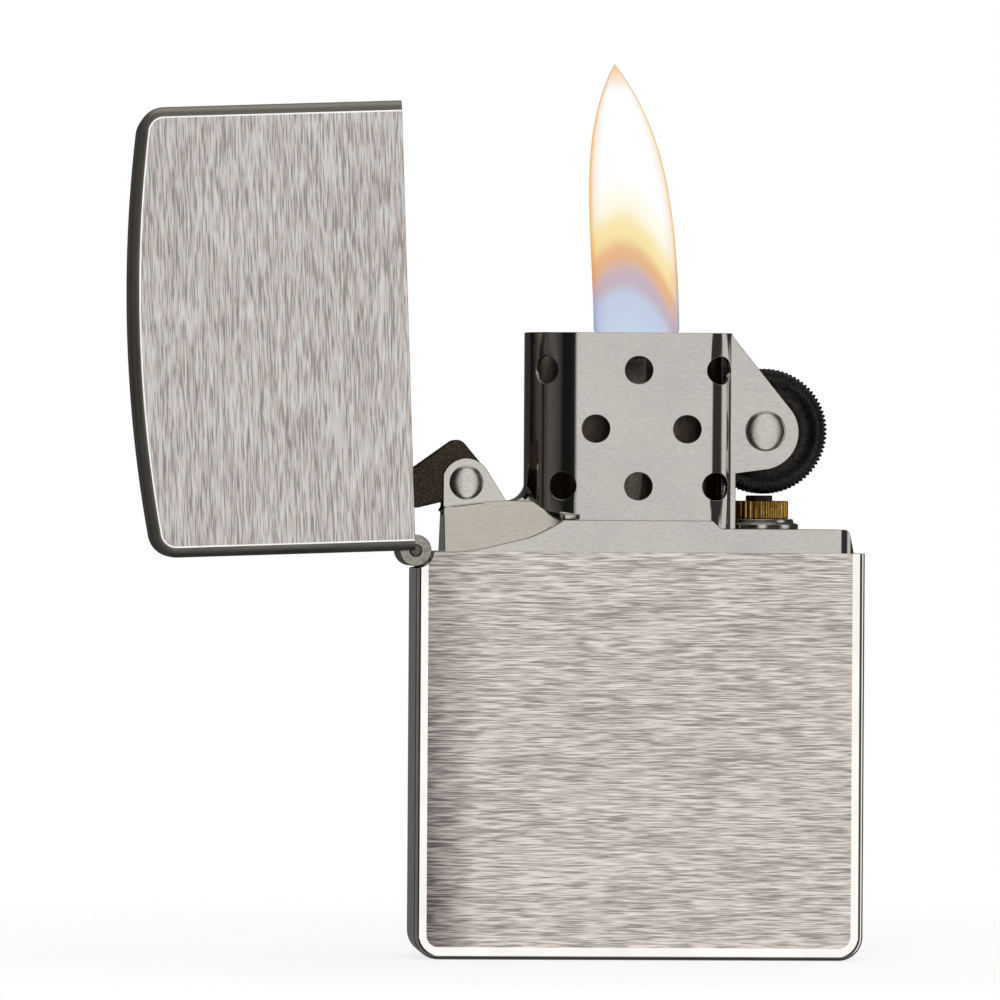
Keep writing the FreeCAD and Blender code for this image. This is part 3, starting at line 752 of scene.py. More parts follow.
def hinge_leaf(z0, z1, own, bore):
    """A leaf against the wall, with the knuckles whose numbers are in `own`."""
    inner = HINGE.x + WALL
    leaf = plate(rectangle(inner, inner + LEAF_THICKNESS, z0, z1), -LEAF_HALF_WIDTH, LEAF_HALF_WIDTH)
    length = BARREL_LENGTH / KNUCKLES
    starts = [index * length - BARREL_LENGTH / 2 for index in range(KNUCKLES)]
    for index, start in enumerate(starts):
        if index in own:
            leaf = joined(leaf, rod(HINGE.x, HINGE.z, BARREL_RADIUS, start + KNUCKLE_GAP / 2,
                                    start + length - KNUCKLE_GAP / 2))
        else:
            leaf = cut(leaf, rod(HINGE.x, HINGE.z, NOTCH_RADIUS - 0.02, start, start + length))
    return cleaned(cut(leaf, rod(HINGE.x, HINGE.z, bore, -BARREL_LENGTH, BARREL_LENGTH, 48)))


LEAF_SETBACK = 0.45
LID_LEAF_REACH = 6.9
case_leaf = hinge_leaf(leaf_low.z, HINGE.z - LEAF_SETBACK, (0, 2, 4), PIN_RADIUS)
finished(case_leaf, "hinge_leaf_case", "case", [hinge_steel], ["case_hinge_leaf"])
lid_leaf = hinge_leaf(HINGE.z + LEAF_SETBACK, HINGE.z + LID_LEAF_REACH, (1, 3),
                      PIN_RADIUS + PIN_CLEARANCE)
lid_leaf.data.transform(LID_SWING)
finished(lid_leaf, "hinge_leaf_lid", "lid", [hinge_steel], ["lid_hinge_leaf"])
pin_profile = softened([(0, pin_low.y), (PIN_RADIUS, pin_low.y), (PIN_RADIUS, pin_high.y),
                        (0, pin_high.y)], (0, 0.12, 0.12, 0))
pin = turned([point for point in pin_profile if point[0] > 0.01], across(HINGE.x, HINGE.z), 48)
finished(pin, "hinge_pin_rod", "case", [pin_steel], ["hinge_pin"], bevel=0.02)


# %% [markdown]
# ## The insert
#
# The insert is one pressed and folded steel sheet: an open tank, a roof-shaped saddle that carries
# the cam, a perforated chimney, and two pairs of ears. It is built as a bench fitter would think of
# it, as a solid outer form with its hollow cut out, then slots and holes. The saddle flares
# smoothly into the chimney, so it is a grid of sections and not a block.

# %% The tank
SHEET = 0.40
insert_low, insert_high = corners("insert_shell")
TANK_LEFT = insert_low.x
TANK_RIGHT = 17.75
TANK_SHOULDER = 17.25
TANK_HALF_DEPTH = insert_high.y
TANK_CORNER = 1.3
TAPER_START = 33.3
DECK_TOP = 35.5
FOOT_TOP = 36.15
FOOT_RIGHT = 6.0
FOOT_SLOPE_END = 6.7
SADDLE_RIGHT = -6.4
SADDLE_BASE = 33.0


def tank_form(inset, bottom):
    """The tank's outer form, or with an inset the space inside it."""
    right, shoulder = TANK_RIGHT - inset, TANK_SHOULDER - inset
    left, half = TANK_LEFT + inset, TANK_HALF_DEPTH - inset
    deck, foot = DECK_TOP - inset, FOOT_TOP - inset
    side = softened([(left, bottom), (right, bottom), (right, TAPER_START), (shoulder, deck),
                     (FOOT_SLOPE_END - inset, deck), (FOOT_RIGHT - inset, foot),
                     (SADDLE_RIGHT, foot), (SADDLE_RIGHT, SADDLE_BASE), (left, SADDLE_BASE)],
                    (0, 0, 0, 0.5, 0.3, 0.3, 0, 0, 0))
    plan = softened([(left, -half), (right, -half), (right, half), (left, half)],
                    (0, TANK_CORNER - inset, TANK_CORNER - inset, 0), steps=16)
    return combined(plate(side, -half - 1, half + 1), [block(plan, bottom - 1, FOOT_TOP + 1)], "INTERSECT")


# %% The saddle under the cam
RIDGE_HALF_WIDTH = 2.4
RIDGE_ROUND = 0.55
# Stations along X: where they are, how high the wall stands there, and how high the ridge is.
SADDLE = [(TANK_LEFT, 33.35, 37.25), (-13.3, 33.70, 37.60), (-11.6, 34.10, 37.75),
          (-9.1, 34.75, 37.75), (-7.3, 35.60, 37.72), (SADDLE_RIGHT, FOOT_TOP, 37.70)]
SADDLE_STEPS = 8


def smooth_stations():
    """The saddle's stations with a smooth run of points between each pair."""
    points = [Vector(station) for station in SADDLE]
    run = []
    for index in range(len(points) - 1):
        before, start = points[max(index - 1, 0)], points[index]
        end, after = points[index + 1], points[min(index + 2, len(points) - 1)]
        for step in range(SADDLE_STEPS):
            t = step / SADDLE_STEPS
            run.append(0.5 * (2 * start + (end - before) * t
                              + (2 * before - 5 * start + 4 * end - after) * t ** 2
                              + (3 * start - before - 3 * end + after) * t ** 3))
    return run + [points[-1]]


def saddle_form(inset, base):
    wall = TANK_HALF_DEPTH - 1.3 * inset
    ridge = RIDGE_HALF_WIDTH - 0.5 * inset
    sections = []
    for index, (x, wall_z, ridge_z) in enumerate(smooth_stations()):
        x += 1.3 * inset if index == 0 else 0
        profile = softened([(-wall, base), (-wall, wall_z - inset), (-ridge, ridge_z - inset),
                            (ridge, ridge_z - inset), (wall, wall_z - inset), (wall, base)],
                           (0, 0.25, RIDGE_ROUND, RIDGE_ROUND, 0.25, 0), steps=5)
        sections.append([(x, y, z) for y, z in profile])
    return skinned(sections)


# %% The chimney and its air holes
CHIMNEY_TOP = insert_high.z
CHIMNEY_HALF_DEPTH = 4.4
CHIMNEY_WALL = 0.45
CHIMNEY_LEFT = -4.94
CHIMNEY_RIGHT = 5.75
CHIMNEY_CORNER = 2.0
COVE_RADIUS = 1.7
COVE_LEAST = 0.10
COVE_SINK = 0.05
COVE_COLUMNS = 40
HOLE_RADIUS = 1.15
# The back rows are set between the front rows so that no light shows through from the front. That is
# this model's own choice, since such a chimney is usually pierced alike on both faces.
FRONT_HOLES = [(48.55, (-7.75, -0.12, 6.7)), (43.70, (-3.65, 3.9)), (38.98, (-6.4, -0.12, 6.35))]
BACK_HOLES = [(48.55, (-3.65, 3.9)), (43.70, (-7.4, -0.12, 7.1)), (38.98, (-3.1, 3.9))]


def chimney_form(inset, z0, z1):
    """The chimney seen from above: a round end, straight flanks and rounded corners."""
    half = CHIMNEY_HALF_DEPTH - inset
    corner = CHIMNEY_CORNER - inset
    turn = half - corner
    plan = arc((CHIMNEY_LEFT, 0), half, math.pi / 2, 3 * math.pi / 2, 64)
    plan += arc((CHIMNEY_RIGHT, -turn), corner, -math.pi / 2, 0, 20)
    plan += arc((CHIMNEY_RIGHT, turn), corner, 0, math.pi / 2, 20)
    return block(plan, z0, z1)


def saddle_height(x, y):
    """How high the saddle's sheet stands at a place seen from above."""
    stations = smooth_stations()
    x = max(stations[0].x, min(stations[-1].x, x))
    for before, after in zip(stations, stations[1:]):
        if x <= after.x:
            break
    share = (x - before.x) / (after.x - before.x)
    wall_z, ridge_z = (before + (after - before) * share).yz
    slope = max(0.0, min(1.0, (abs(y) - RIDGE_HALF_WIDTH) / (TANK_HALF_DEPTH - RIDGE_HALF_WIDTH)))
    return ridge_z + (wall_z - ridge_z) * slope


def chimney_cove():
    """The hollow curve in which the saddle's sheet turns up into the chimney's round end."""
    sections = []
    for column in range(COVE_COLUMNS + 1):
        angle = math.pi / 2 + math.pi * column / COVE_COLUMNS
        radius = COVE_LEAST + (COVE_RADIUS - COVE_LEAST) * abs(math.cos(angle)) ** 1.3
        reach = CHIMNEY_HALF_DEPTH + radius - COVE_SINK
        floor = saddle_height(CHIMNEY_LEFT + reach * math.cos(angle), reach * math.sin(angle)) - COVE_SINK
        wall_side = CHIMNEY_HALF_DEPTH - 0.2
        profile = [(wall_side, floor - 0.4), (reach, floor - 0.4)]
        profile += arc((reach, floor + radius), radius, -math.pi / 2, -math.pi, 12)
        profile.append((wall_side, floor + radius))
        sections.append([(CHIMNEY_LEFT + away * math.cos(angle), away * math.sin(angle), z)
                         for away, z in profile])
    return skinned(sections)


def air_hole(x, z, side):
    """A round cutter square to the chimney's wall. `side` is -1 for the front and +1 for the back."""
    centre, sideways = Vector((x, 0, z)), 0.0
    if x < CHIMNEY_LEFT:
        centre.x = CHIMNEY_LEFT
        sideways = (x - CHIMNEY_LEFT) / CHIMNEY_HALF_DEPTH
    elif x > CHIMNEY_RIGHT:
        centre = Vector((CHIMNEY_RIGHT, side * (CHIMNEY_HALF_DEPTH - CHIMNEY_CORNER), z))
        sideways = (x - CHIMNEY_RIGHT) / CHIMNEY_CORNER
    outward = Vector((sideways, side * math.sqrt(1 - sideways ** 2), 0))
    cutter = rod(0, 0, HOLE_RADIUS, 0, 2 * CHIMNEY_HALF_DEPTH, 40)
    cutter.data.transform(Matrix.Translation(centre) @ Vector((0, 1, 0)).rotation_difference(outward)
                          .to_matrix().to_4x4())
    return cutter


# %% The ears that hold the cam and the wheel
CAM = Vector(joints["cam_pivot"]["pos_m"]) / MM
WHEEL = Vector(joints["wheel_spin"]["pos_m"]) / MM
CAM_EAR = (1.9, 2.4)
CAM_EAR_RADIUS = 2.0
CAM_SLOT_RIGHT = -12.2
CAM_SLOT_BOTTOM = 36.5
WHEEL_EAR = (2.8, 3.3)
WHEEL_EAR_RADIUS = 3.1
RIVET_RADIUS = 0.75
FLINT_X = (corners("flint")[0].x + corners("flint")[1].x) / 2
TUBE_RADIUS = 1.75
WICK_RADIUS = 1.1
WICK_X = -0.3
SPRING_RIVET_X = -10.9
SPRING_RIVET_RADIUS = 0.6
SPRING_HOLE_SPAN = (36, 38.5)


def cam_ear(side):
    rounds = [(TANK_LEFT, CAM_SLOT_BOTTOM, 0), (-10.6, CAM_SLOT_BOTTOM + 0.7, 0),
              (CAM.x, CAM.z, CAM_EAR_RADIUS)]
    y0, y1 = sorted((side * CAM_EAR[0], side * CAM_EAR[1]))
    ear = plate(belt(rounds, 40), y0, y1)
    return combined(ear, [plate(rectangle(TANK_LEFT, WHEEL.x, 0, CHIMNEY_TOP), -DEPTH, DEPTH)], "INTERSECT")


def wheel_ear(side):
    """One cheek beside the wheel, and the strip that joins it to the deck."""
    fold = CHIMNEY_RIGHT + CHIMNEY_CORNER - 0.25
    rounds = [(fold, 40.0, 0), (WHEEL.x - 0.35, WHEEL.z - 0.1, WHEEL_EAR_RADIUS), (fold, CHIMNEY_TOP, 0)]
    y0, y1 = sorted((side * WHEEL_EAR[0], side * WHEEL_EAR[1]))
    strip = plate(rectangle(fold, fold + 0.5, DECK_TOP - SHEET / 2, CHIMNEY_TOP - 0.5), y0, y1)
    return joined(plate(belt(rounds, 48), y0, y1), strip)


# %% The insert put together
def make_insert():
    shell = joined(tank_form(0, insert_low.z), saddle_form(0, SADDLE_BASE - 1), chimney_cove(),
                   chimney_form(0, DECK_TOP - SHEET / 2, CHIMNEY_TOP),
                   cam_ear(-1), cam_ear(1), wheel_ear(-1), wheel_ear(1))
    shell.data.materials.append(insert_steel)
    shell.data.materials.append(soot_and_shade_steel)
    # The hollows get the second, dark finish: soot and painted shade in the chimney, painted shade in the
    # tank and saddle.
    cutters = [painted(tank_form(SHEET, insert_low.z - 1), 1),
               painted(saddle_form(SHEET, SADDLE_BASE - 1.3), 1),
               painted(chimney_form(CHIMNEY_WALL, FOOT_TOP, CHIMNEY_TOP + 1), 1),
               plate(rectangle(FLINT_X - 4.0, FLINT_X, DECK_TOP, CHIMNEY_TOP + 1),
                     -WHEEL_EAR[0], WHEEL_EAR[0]),
               plate(rectangle(TANK_LEFT - 1, CAM_SLOT_RIGHT, CAM_SLOT_BOTTOM, CAM.z + 5),
                     -CAM_EAR[0], CAM_EAR[0]),
               rod(CAM.x, CAM.z, RIVET_RADIUS, -DEPTH, DEPTH),
               rod(WHEEL.x, WHEEL.z, RIVET_RADIUS, -DEPTH, DEPTH),
               post(FLINT_X, TUBE_RADIUS, DECK_TOP - 1, DECK_TOP + 1),
               post(WICK_X, WICK_RADIUS + 0.05, FOOT_TOP - 1, FOOT_TOP + 1),
               post(SPRING_RIVET_X, SPRING_RIVET_RADIUS, *SPRING_HOLE_SPAN)]
    for side, rows in ((-1, FRONT_HOLES), (1, BACK_HOLES)):
        for z, places in rows:
            cutters += [air_hole(x, z, side) for x in places]
    shell = creased(cleaned(cut(shell, *cutters), flat_angle=0.05, near=0.0005), 11, 58)
    return finished(shell, "insert_sheet", "insert", [], ["insert_shell"], bevel=0.05,
                    sharp=58)


make_insert()


# %% [markdown]
# ## The cam, its spring and the rivets
#
# The cam is a stamped steel finger, blackened and a little rough. Its outline is a belt drawn round
# five circles, which is how such levers are laid out. Rivets are lathe work: a shank with a low
# domed head at each end, formed over the ear by a hammer, so the dome is shallow and its edge soft.

# %% The cam and its leaf spring
CAM_HALF_WIDTH = corners("cam")[1].y
# Rounds that bound the cam: x and z from the pivot, and radius.
CAM_ROUNDS = [(-4.10, -1.20, 0.90), (0.00, 0.00, 1.10), (0.50, 0.60, 1.20), (-0.80, 2.635, 0.90),
              (-4.10, 0.27, 0.90)]
BORE_CLEARANCE = 0.05


def make_cam():
    rounds = [(CAM.x + x, CAM.z + z, radius) for x, z, radius in CAM_ROUNDS]
    lever = plate(belt(rounds, 16), -CAM_HALF_WIDTH, CAM_HALF_WIDTH)
    lever = cut(lever, rod(CAM.x, CAM.z, RIVET_RADIUS + BORE_CLEARANCE, -DEPTH, DEPTH))
    return finished(cleaned(lever), "cam_lever", "cam", [oxide_steel], ["cam"],
                    bevel=0.12)


def make_leaf_spring():
    low, high = corners("cam_spring")
    thickness, rise = 0.28, 0.15
    top = high.z - rise
    side = [(high.x, top), (CAM_SLOT_RIGHT, top), (low.x, high.z), (low.x, high.z - thickness),
            (CAM_SLOT_RIGHT, top - thickness), (high.x, top - thickness)]
    strip = cut(plate(side, low.y, high.y), post(SPRING_RIVET_X, SPRING_RIVET_RADIUS, *SPRING_HOLE_SPAN))
    return finished(cleaned(strip), "cam_leaf_spring", "insert", [spring_steel],
                    ["cam_spring"], bevel=0.03)


make_cam()
make_leaf_spring()


# %% Rivets
def dome(radius, height, start, side, steps=12):
    """(radius, along) points of a shallow domed head that begins at `start`."""
    edge = 0.30 * height
    rim = arc((radius - edge, start + side * 0.25 * height), edge, 0, side * math.pi / 2, 4)
    shoulder = rim[-1]
    crest = start + side * height
    sweep = [(shoulder[0] * math.cos(math.pi / 2 * step / steps),
              shoulder[1] + (crest - shoulder[1]) * math.sin(math.pi / 2 * step / steps))
             for step in range(1, steps)]
    return [(radius, start)] + rim + sweep + [(LATHE_TIP, crest)]


def rivet(name, node, centre, head_radius, ear):
    low, high = corners(node)
    height = high.y - ear
    front = dome(head_radius, height, -ear, -1)
    back = dome(head_radius, height, ear, 1)
    profile = front[::-1] + [(RIVET_RADIUS, -ear), (RIVET_RADIUS, ear)] + back
    made = turned(profile, across(centre.x, centre.z))
    return finished(made, name, "insert", [rivet_steel], [node], bevel=0)


rivet("cam_rivet_pin", "cam_rivet", CAM, 1.4, CAM_EAR[1])
rivet("wheel_rivet_pin", "wheel_rivet", WHEEL, 1.67, WHEEL_EAR[1])
spring_low, spring_high = corners("cam_spring_rivet")
spring_head = spring_low.z + 0.35
spring_profile = softened([(LATHE_TIP, spring_low.z), (1.2, spring_low.z), (1.2, spring_head),
                           (SPRING_RIVET_RADIUS, spring_head), (SPRING_RIVET_RADIUS, spring_high.z),
                           (LATHE_TIP, spring_high.z)], (0, 0.2, 0, 0, 0, 0))
finished(turned(spring_profile, upright(SPRING_RIVET_X)), "cam_spring_rivet_pin", "insert",
         [spring_steel], ["cam_spring_rivet"], bevel=0)


# %% [markdown]
# ## The sparking wheel
#
# A flint wheel is cut with straight grooves and two slanted sets that cross, which leaves tiny hard
# teeth. A bump map would leave the outline smooth, and the outline is where the teeth are seen, so
# they are real geometry: every point of the rim drops by the deepest of three sets of saw-teeth.

# %% The wheel
WHEEL_RADIUS = (corners("flint_wheel")[1].z - corners("flint_wheel")[0].z) / 2
WHEEL_HALF_WIDTH = 2.45
HUB_RADIUS = 1.9
HUB_HALF_WIDTH = corners("flint_wheel")[1].y
TEETH = 86
TOOTH_DEPTH = 0.24
TOOTH_SLANT = 0.16
STEPS_PER_TOOTH = 6


def tooth_drop(angle, y):
    """How far the rim lies below its full radius, from straight and slanted sets of grooves."""
    drops = []
    for lean, share in ((0, 1.0), (-1, 0.6), (1, 0.6)):
        phase = (TEETH * (angle + lean * TOOTH_SLANT * y / WHEEL_HALF_WIDTH) / math.tau) % 1
        drops.append(share * abs(2 * phase - 1) ** 1.4)
    return TOOTH_DEPTH * max(drops)


def make_wheel():
    chamfer = 0.30
    bore = RIVET_RADIUS + BORE_CLEARANCE
    side = [(bore, HUB_HALF_WIDTH), (HUB_RADIUS, HUB_HALF_WIDTH), (HUB_RADIUS, WHEEL_HALF_WIDTH - 0.15),
            (3.9, WHEEL_HALF_WIDTH - 0.15), (4.1, WHEEL_HALF_WIDTH), (WHEEL_RADIUS - 0.5, WHEEL_HALF_WIDTH)]
    across_rim = [WHEEL_HALF_WIDTH - chamfer - step * (WHEEL_HALF_WIDTH - chamfer) / 12
                  for step in range(25)]
    profile = ([(radius, y, 0) for radius, y in side] + [(WHEEL_RADIUS, y, 1) for y in across_rim]
               + [(radius, -y, 0) for radius, y in reversed(side)])
    steps = TEETH * STEPS_PER_TOOTH
    vertices = []
    for radius, y, toothed in profile:
        for step in range(steps):
            angle = math.tau * step / steps
            reach = radius - toothed * tooth_drop(angle, y)
            vertices.append((WHEEL.x + reach * math.cos(angle), y, WHEEL.z + reach * math.sin(angle)))
    made = solid(vertices, ring_faces(len(profile), steps, closed=True))
    return finished(made, "sparking_wheel", "wheel", [wheel_steel], ["flint_wheel"], bevel=0)


make_wheel()


# %% [markdown]
# ## The flint and what feeds it
#
# Under the wheel stands the flint barrel: a tube, a thin steel flange where it leaves the deck and a
# fluted brass collar. Inside, a coil spring on a slotted screw pushes the flint up by a small brass tip.
# All of it is lathe work except the spring, which is a tube swept along a helix.

# %% Tube, flange and collar
def ring_profile(inner, outer, z0, z1, top=0.1, bottom=0.05):
    """The cut face of a plain ring, with its outer edges rounded."""
    return softened([(inner, z0), (outer, z0), (outer, z1), (inner, z1)], (0, bottom, top, 0))


TUBE_BORE = 1.2
tube_low, tube_high = corners("flint_tube")
tube = turned(ring_profile(TUBE_BORE, TUBE_RADIUS, tube_low.z, tube_high.z, 0.2), upright(FLINT_X),
              closed=True)
finished(tube, "flint_barrel", "insert", [barrel_steel], ["flint_tube"], bevel=0)
flange_low, flange_high = corners("tube_flange")
flange_radius = (flange_high.x - flange_low.x) / 2
step_z = flange_low.z + 0.42
flange_profile = softened([(TUBE_RADIUS, flange_low.z), (flange_radius, flange_low.z),
                           (flange_radius, step_z), (flange_radius - 0.35, step_z + 0.1),
                           (flange_radius - 0.45, flange_high.z), (TUBE_RADIUS, flange_high.z)],
                          (0, 0.08, 0.12, 0.08, 0.12, 0))
flange = turned(flange_profile, upright(FLINT_X), closed=True)
finished(flange, "barrel_flange", "insert", [rivet_steel], ["tube_flange"], bevel=0)


COLLAR_RIM = 0.12


def make_collar():
    low, high = corners("tube_collar")
    outer = (high.x - low.x) / 2 + COLLAR_RIM
    flutes, steps = 30, 300
    flute_depth = 0.13
    ring = ring_profile(TUBE_RADIUS, outer, low.z, high.z, 0.14, 0.10)
    vertices = []
    for radius, z in ring:
        share = max(0.0, (radius - TUBE_RADIUS) / (outer - TUBE_RADIUS) - 0.6) / 0.4
        for step in range(steps):
            angle = math.tau * step / steps
            groove = abs(math.sin(flutes * angle / 2)) ** 0.6
            reach = radius - share * flute_depth * (1 - groove)
            vertices.append((FLINT_X + reach * math.cos(angle), reach * math.sin(angle), z))
    made = solid(vertices, ring_faces(len(ring), steps, closed=True))
    return finished(made, "brass_collar", "insert", [brass], ["tube_collar"], bevel=0)


make_collar()


# %% Flint, tip, spring and screw
flint_low, flint_high = corners("flint")
flint_radius = (flint_high.x - flint_low.x) / 2
dish = 0.25
flint_profile = softened([(LATHE_TIP, flint_low.z), (flint_radius, flint_low.z),
                          (flint_radius, flint_high.z), (0.5, flint_high.z - 0.05),
                          (LATHE_TIP, flint_high.z - dish)], (0, 0.1, 0.08, 0, 0))
finished(turned(flint_profile, upright(FLINT_X)), "flint_stick", "insert", [flint_alloy],
         ["flint"], bevel=0)
tip_low, tip_high = corners("spring_tip")
tip_step = tip_low.z + 0.5
tip_profile = softened([(LATHE_TIP, tip_low.z), (0.62, tip_low.z), (0.62, tip_step), (1.0, tip_step),
                        (1.0, tip_high.z), (LATHE_TIP, tip_high.z)], (0, 0.08, 0, 0.08, 0.15, 0))
finished(turned(tip_profile, upright(FLINT_X)), "spring_tip_cap", "insert", [brass],
         ["spring_tip"], bevel=0)


def tube_along(points, radius_at, sides):
    """A closed tube round a line of points. radius_at(length, angle) gives the skin's distance."""
    vertices = []
    side_axis = Vector((0, 1, 0))
    length = 0.0
    for index, point in enumerate(points):
        heading = (points[min(index + 1, len(points) - 1)] - points[max(index - 1, 0)]).normalized()
        side_axis = (side_axis - heading * side_axis.dot(heading)).normalized()
        other = heading.cross(side_axis)
        length += (point - points[max(index - 1, 0)]).length
        for step in range(sides):
            angle = math.tau * step / sides
            reach = radius_at(length, angle)
            vertices.append(point + (side_axis * math.cos(angle) + other * math.sin(angle)) * reach)
    return solid(vertices, ring_faces(len(points), sides) + end_caps(len(points), sides))


def make_coil_spring():
    wire, coil, pitch, per_turn = 0.14, 0.82, 1.5, 28
    low, high = corners("flint_spring")
    z0, z1 = low.z + wire, high.z - wire
    steps = int((z1 - z0) / pitch * per_turn)
    points = []
    for step in range(steps + 1):
        angle = math.tau * step / per_turn
        points.append(Vector((FLINT_X + coil * math.cos(angle), coil * math.sin(angle),
                              z0 + (z1 - z0) * step / steps)))
    made = tube_along(points, lambda length, angle: wire, 10)
    return finished(made, "flint_coil_spring", "insert", [spring_steel],
                    ["flint_spring"], bevel=0)


def make_screw():
    low, high = corners("flint_screw")
    head_radius, shank, head_top, thread_pitch, thread_depth = 2.3, 1.12, low.z + 1.0, 0.35, 0.07
    threads = int((high.z - head_top - 0.6) / thread_pitch)
    profile = softened([(LATHE_TIP, low.z), (head_radius, low.z), (head_radius, head_top),
                        (shank, head_top)], (0, 0.25, 0.12, 0))
    for index in range(threads):
        z = head_top + 0.3 + index * thread_pitch
        profile += [(shank, z), (shank - thread_depth, z + thread_pitch / 2)]
    profile += [(shank - thread_depth, high.z), (LATHE_TIP, high.z)]
    made = turned(profile, upright(FLINT_X), 64)
    groove = block(rectangle(FLINT_X - 5, FLINT_X + 5, -0.275, 0.275), low.z - 1, low.z + 0.45)
    return finished(cleaned(cut(made, groove)), "flint_screw_turned", "screw", [brass],
                    ["flint_screw"], bevel=0.02)


make_coil_spring()
make_screw()


# %% [markdown]
# ## The wick, the wadding and the felt
#
# The wick is a braided cotton rope that zigzags down through the wadding. Its line is a smooth curve
# through a few given points, and the braid is real relief: the radius rises and falls where two
# sets of strands cross. The wadding starts from the plain blocks of the CAD model, which already have
# the wick's tunnel. A voxel remesh makes their skin even, and noise then pulls it in like loose fluff.

# %% The wick
WICK_POINTS = [(-0.3, 49.5), (-0.3, 33.0), (-5.3, 25.0), (-0.3, 17.0), (-5.3, 9.0), (-2.8, 5.6)]
STRANDS = 8
BRAID_PITCH = 5.0


def smooth_line(route, samples):
    """Points of a smooth curve that follows a given route in the XZ plane."""
    curve = bpy.data.curves.new("route", "CURVE")
    curve.dimensions = "3D"
    spline = curve.splines.new("NURBS")
    spline.points.add(len(route) - 1)
    for point, (x, z) in zip(spline.points, route):
        point.co = (x, 0, z, 1)
    spline.order_u = 3
    spline.use_endpoint_u = True
    spline.resolution_u = samples
    holder = bpy.data.objects.new("route", curve)
    bpy.context.scene.collection.objects.link(holder)
    line = bpy.data.meshes.new_from_object(holder)
    points = [vertex.co.copy() for vertex in line.vertices]
    bpy.data.objects.remove(holder)
    return points


def make_wick():
    def braid(length, angle):
        crossing = [math.cos(STRANDS / 2 * angle + way * math.tau * length / BRAID_PITCH * 2)
                    for way in (-1, 1)]
        return WICK_RADIUS - 0.16 + 0.14 * abs(max(crossing))

    points = smooth_line(WICK_POINTS, 60)
    made = tube_along(points, braid, 48)
    return finished(made, "braided_wick", "insert",
                    [make_wick_finish(WICK_POINTS[0][1], 4.0)], ["wick"], bevel=0)


make_wick()


# %% The wadding and the felt pad
def make_padding(node, name, finish, voxel, pull):
    """A soft copy of a CAD block, drawn in by noise so that it never leaves the block's space."""
    made = bpy.data.objects.new(name, cad_nodes[node].data.copy())
    bpy.context.scene.collection.objects.link(made)
    made.data.transform(Matrix.Scale(1 / MM, 4))
    made.data.materials.clear()
    skin = made.modifiers.new("skin", "REMESH")
    skin.mode = "VOXEL"
    skin.voxel_size = voxel
    baked(made)
    offset = Vector((random.uniform(0, 50), random.uniform(0, 50), 0))
    inward = []
    for vertex in made.data.vertices:
        fluff = noise.fractal(vertex.co * 0.9 + offset, 0.8, 2.0, 4)
        inward.append(vertex.normal * (-pull * (0.5 + 0.5 * max(-1.0, min(1.0, fluff)))))
    for vertex, move in zip(made.data.vertices, inward):
        vertex.co += move
    made = finished(made, name, "insert", [finish], [node], bevel=0)
    return made


random.seed(7)
for index in range(1, 6):
    make_padding("packing_ball_%d" % index, "cotton_wad_%d" % index, wadding,
                 0.42, 0.5)
make_padding("felt_pad", "felt_sole", felt, 0.38, 0.14)


# %% [markdown]
# ## The flame
#
# A flame is glowing gas, so it has no surface, yet it needs a body here to be part of the lighter.
# A volume would be the physical choice, but volumes render slowly and few programs can read them.
# A closed teardrop with a glowing, half clear skin looks right and travels well. Its colours come
# from two numbers stored on every point: how high it is, and how far round towards its edge it is.
# When the lid shuts it snuffs the flame, but this teardrop keeps its one lit shape.

# %% The flame's shape
FLAME_TIP = 73.95
FLAME_FOOT = CHIMNEY_TOP + 0.25
FLAME_START = 50.3
FLAME_HALF_WIDTH = 3.56
FLAME_CENTRE = -0.06
FLAME_LEAN = 1.95
FLAME_DEPTH = 0.72


def flame_ring(z):
    """(centre x, half width) of the flame at a height."""
    if z >= FLAME_FOOT:
        up = (z - FLAME_FOOT) / (FLAME_TIP - FLAME_FOOT)
        return FLAME_CENTRE - FLAME_LEAN * up ** 1.55, FLAME_HALF_WIDTH * (1 - up ** 4)
    down = (FLAME_FOOT - z) / (FLAME_FOOT - FLAME_START)
    return FLAME_CENTRE, FLAME_HALF_WIDTH * (1 - 0.5 * down ** 1.6)


def make_flame():
    rings, steps = 96, 64
    vertices, edge = [], []
    for ring in range(rings):
        share = ring / (rings - 1)
        z = FLAME_START + (FLAME_TIP - FLAME_START) * (1 - (1 - share) ** 1.35)
        centre, half = flame_ring(z)
        half = max(half, 0.015)
        for step in range(steps):
            angle = math.tau * step / steps
            vertices.append((centre + half * math.cos(angle), FLAME_DEPTH * half * math.sin(angle), z))
            edge.append(math.cos(angle))
    made = solid(vertices, end_caps(rings, steps) + ring_faces(rings, steps))
    made.data.attributes.new("round_to_edge", "FLOAT", "POINT").data.foreach_set("value", edge)
    return made


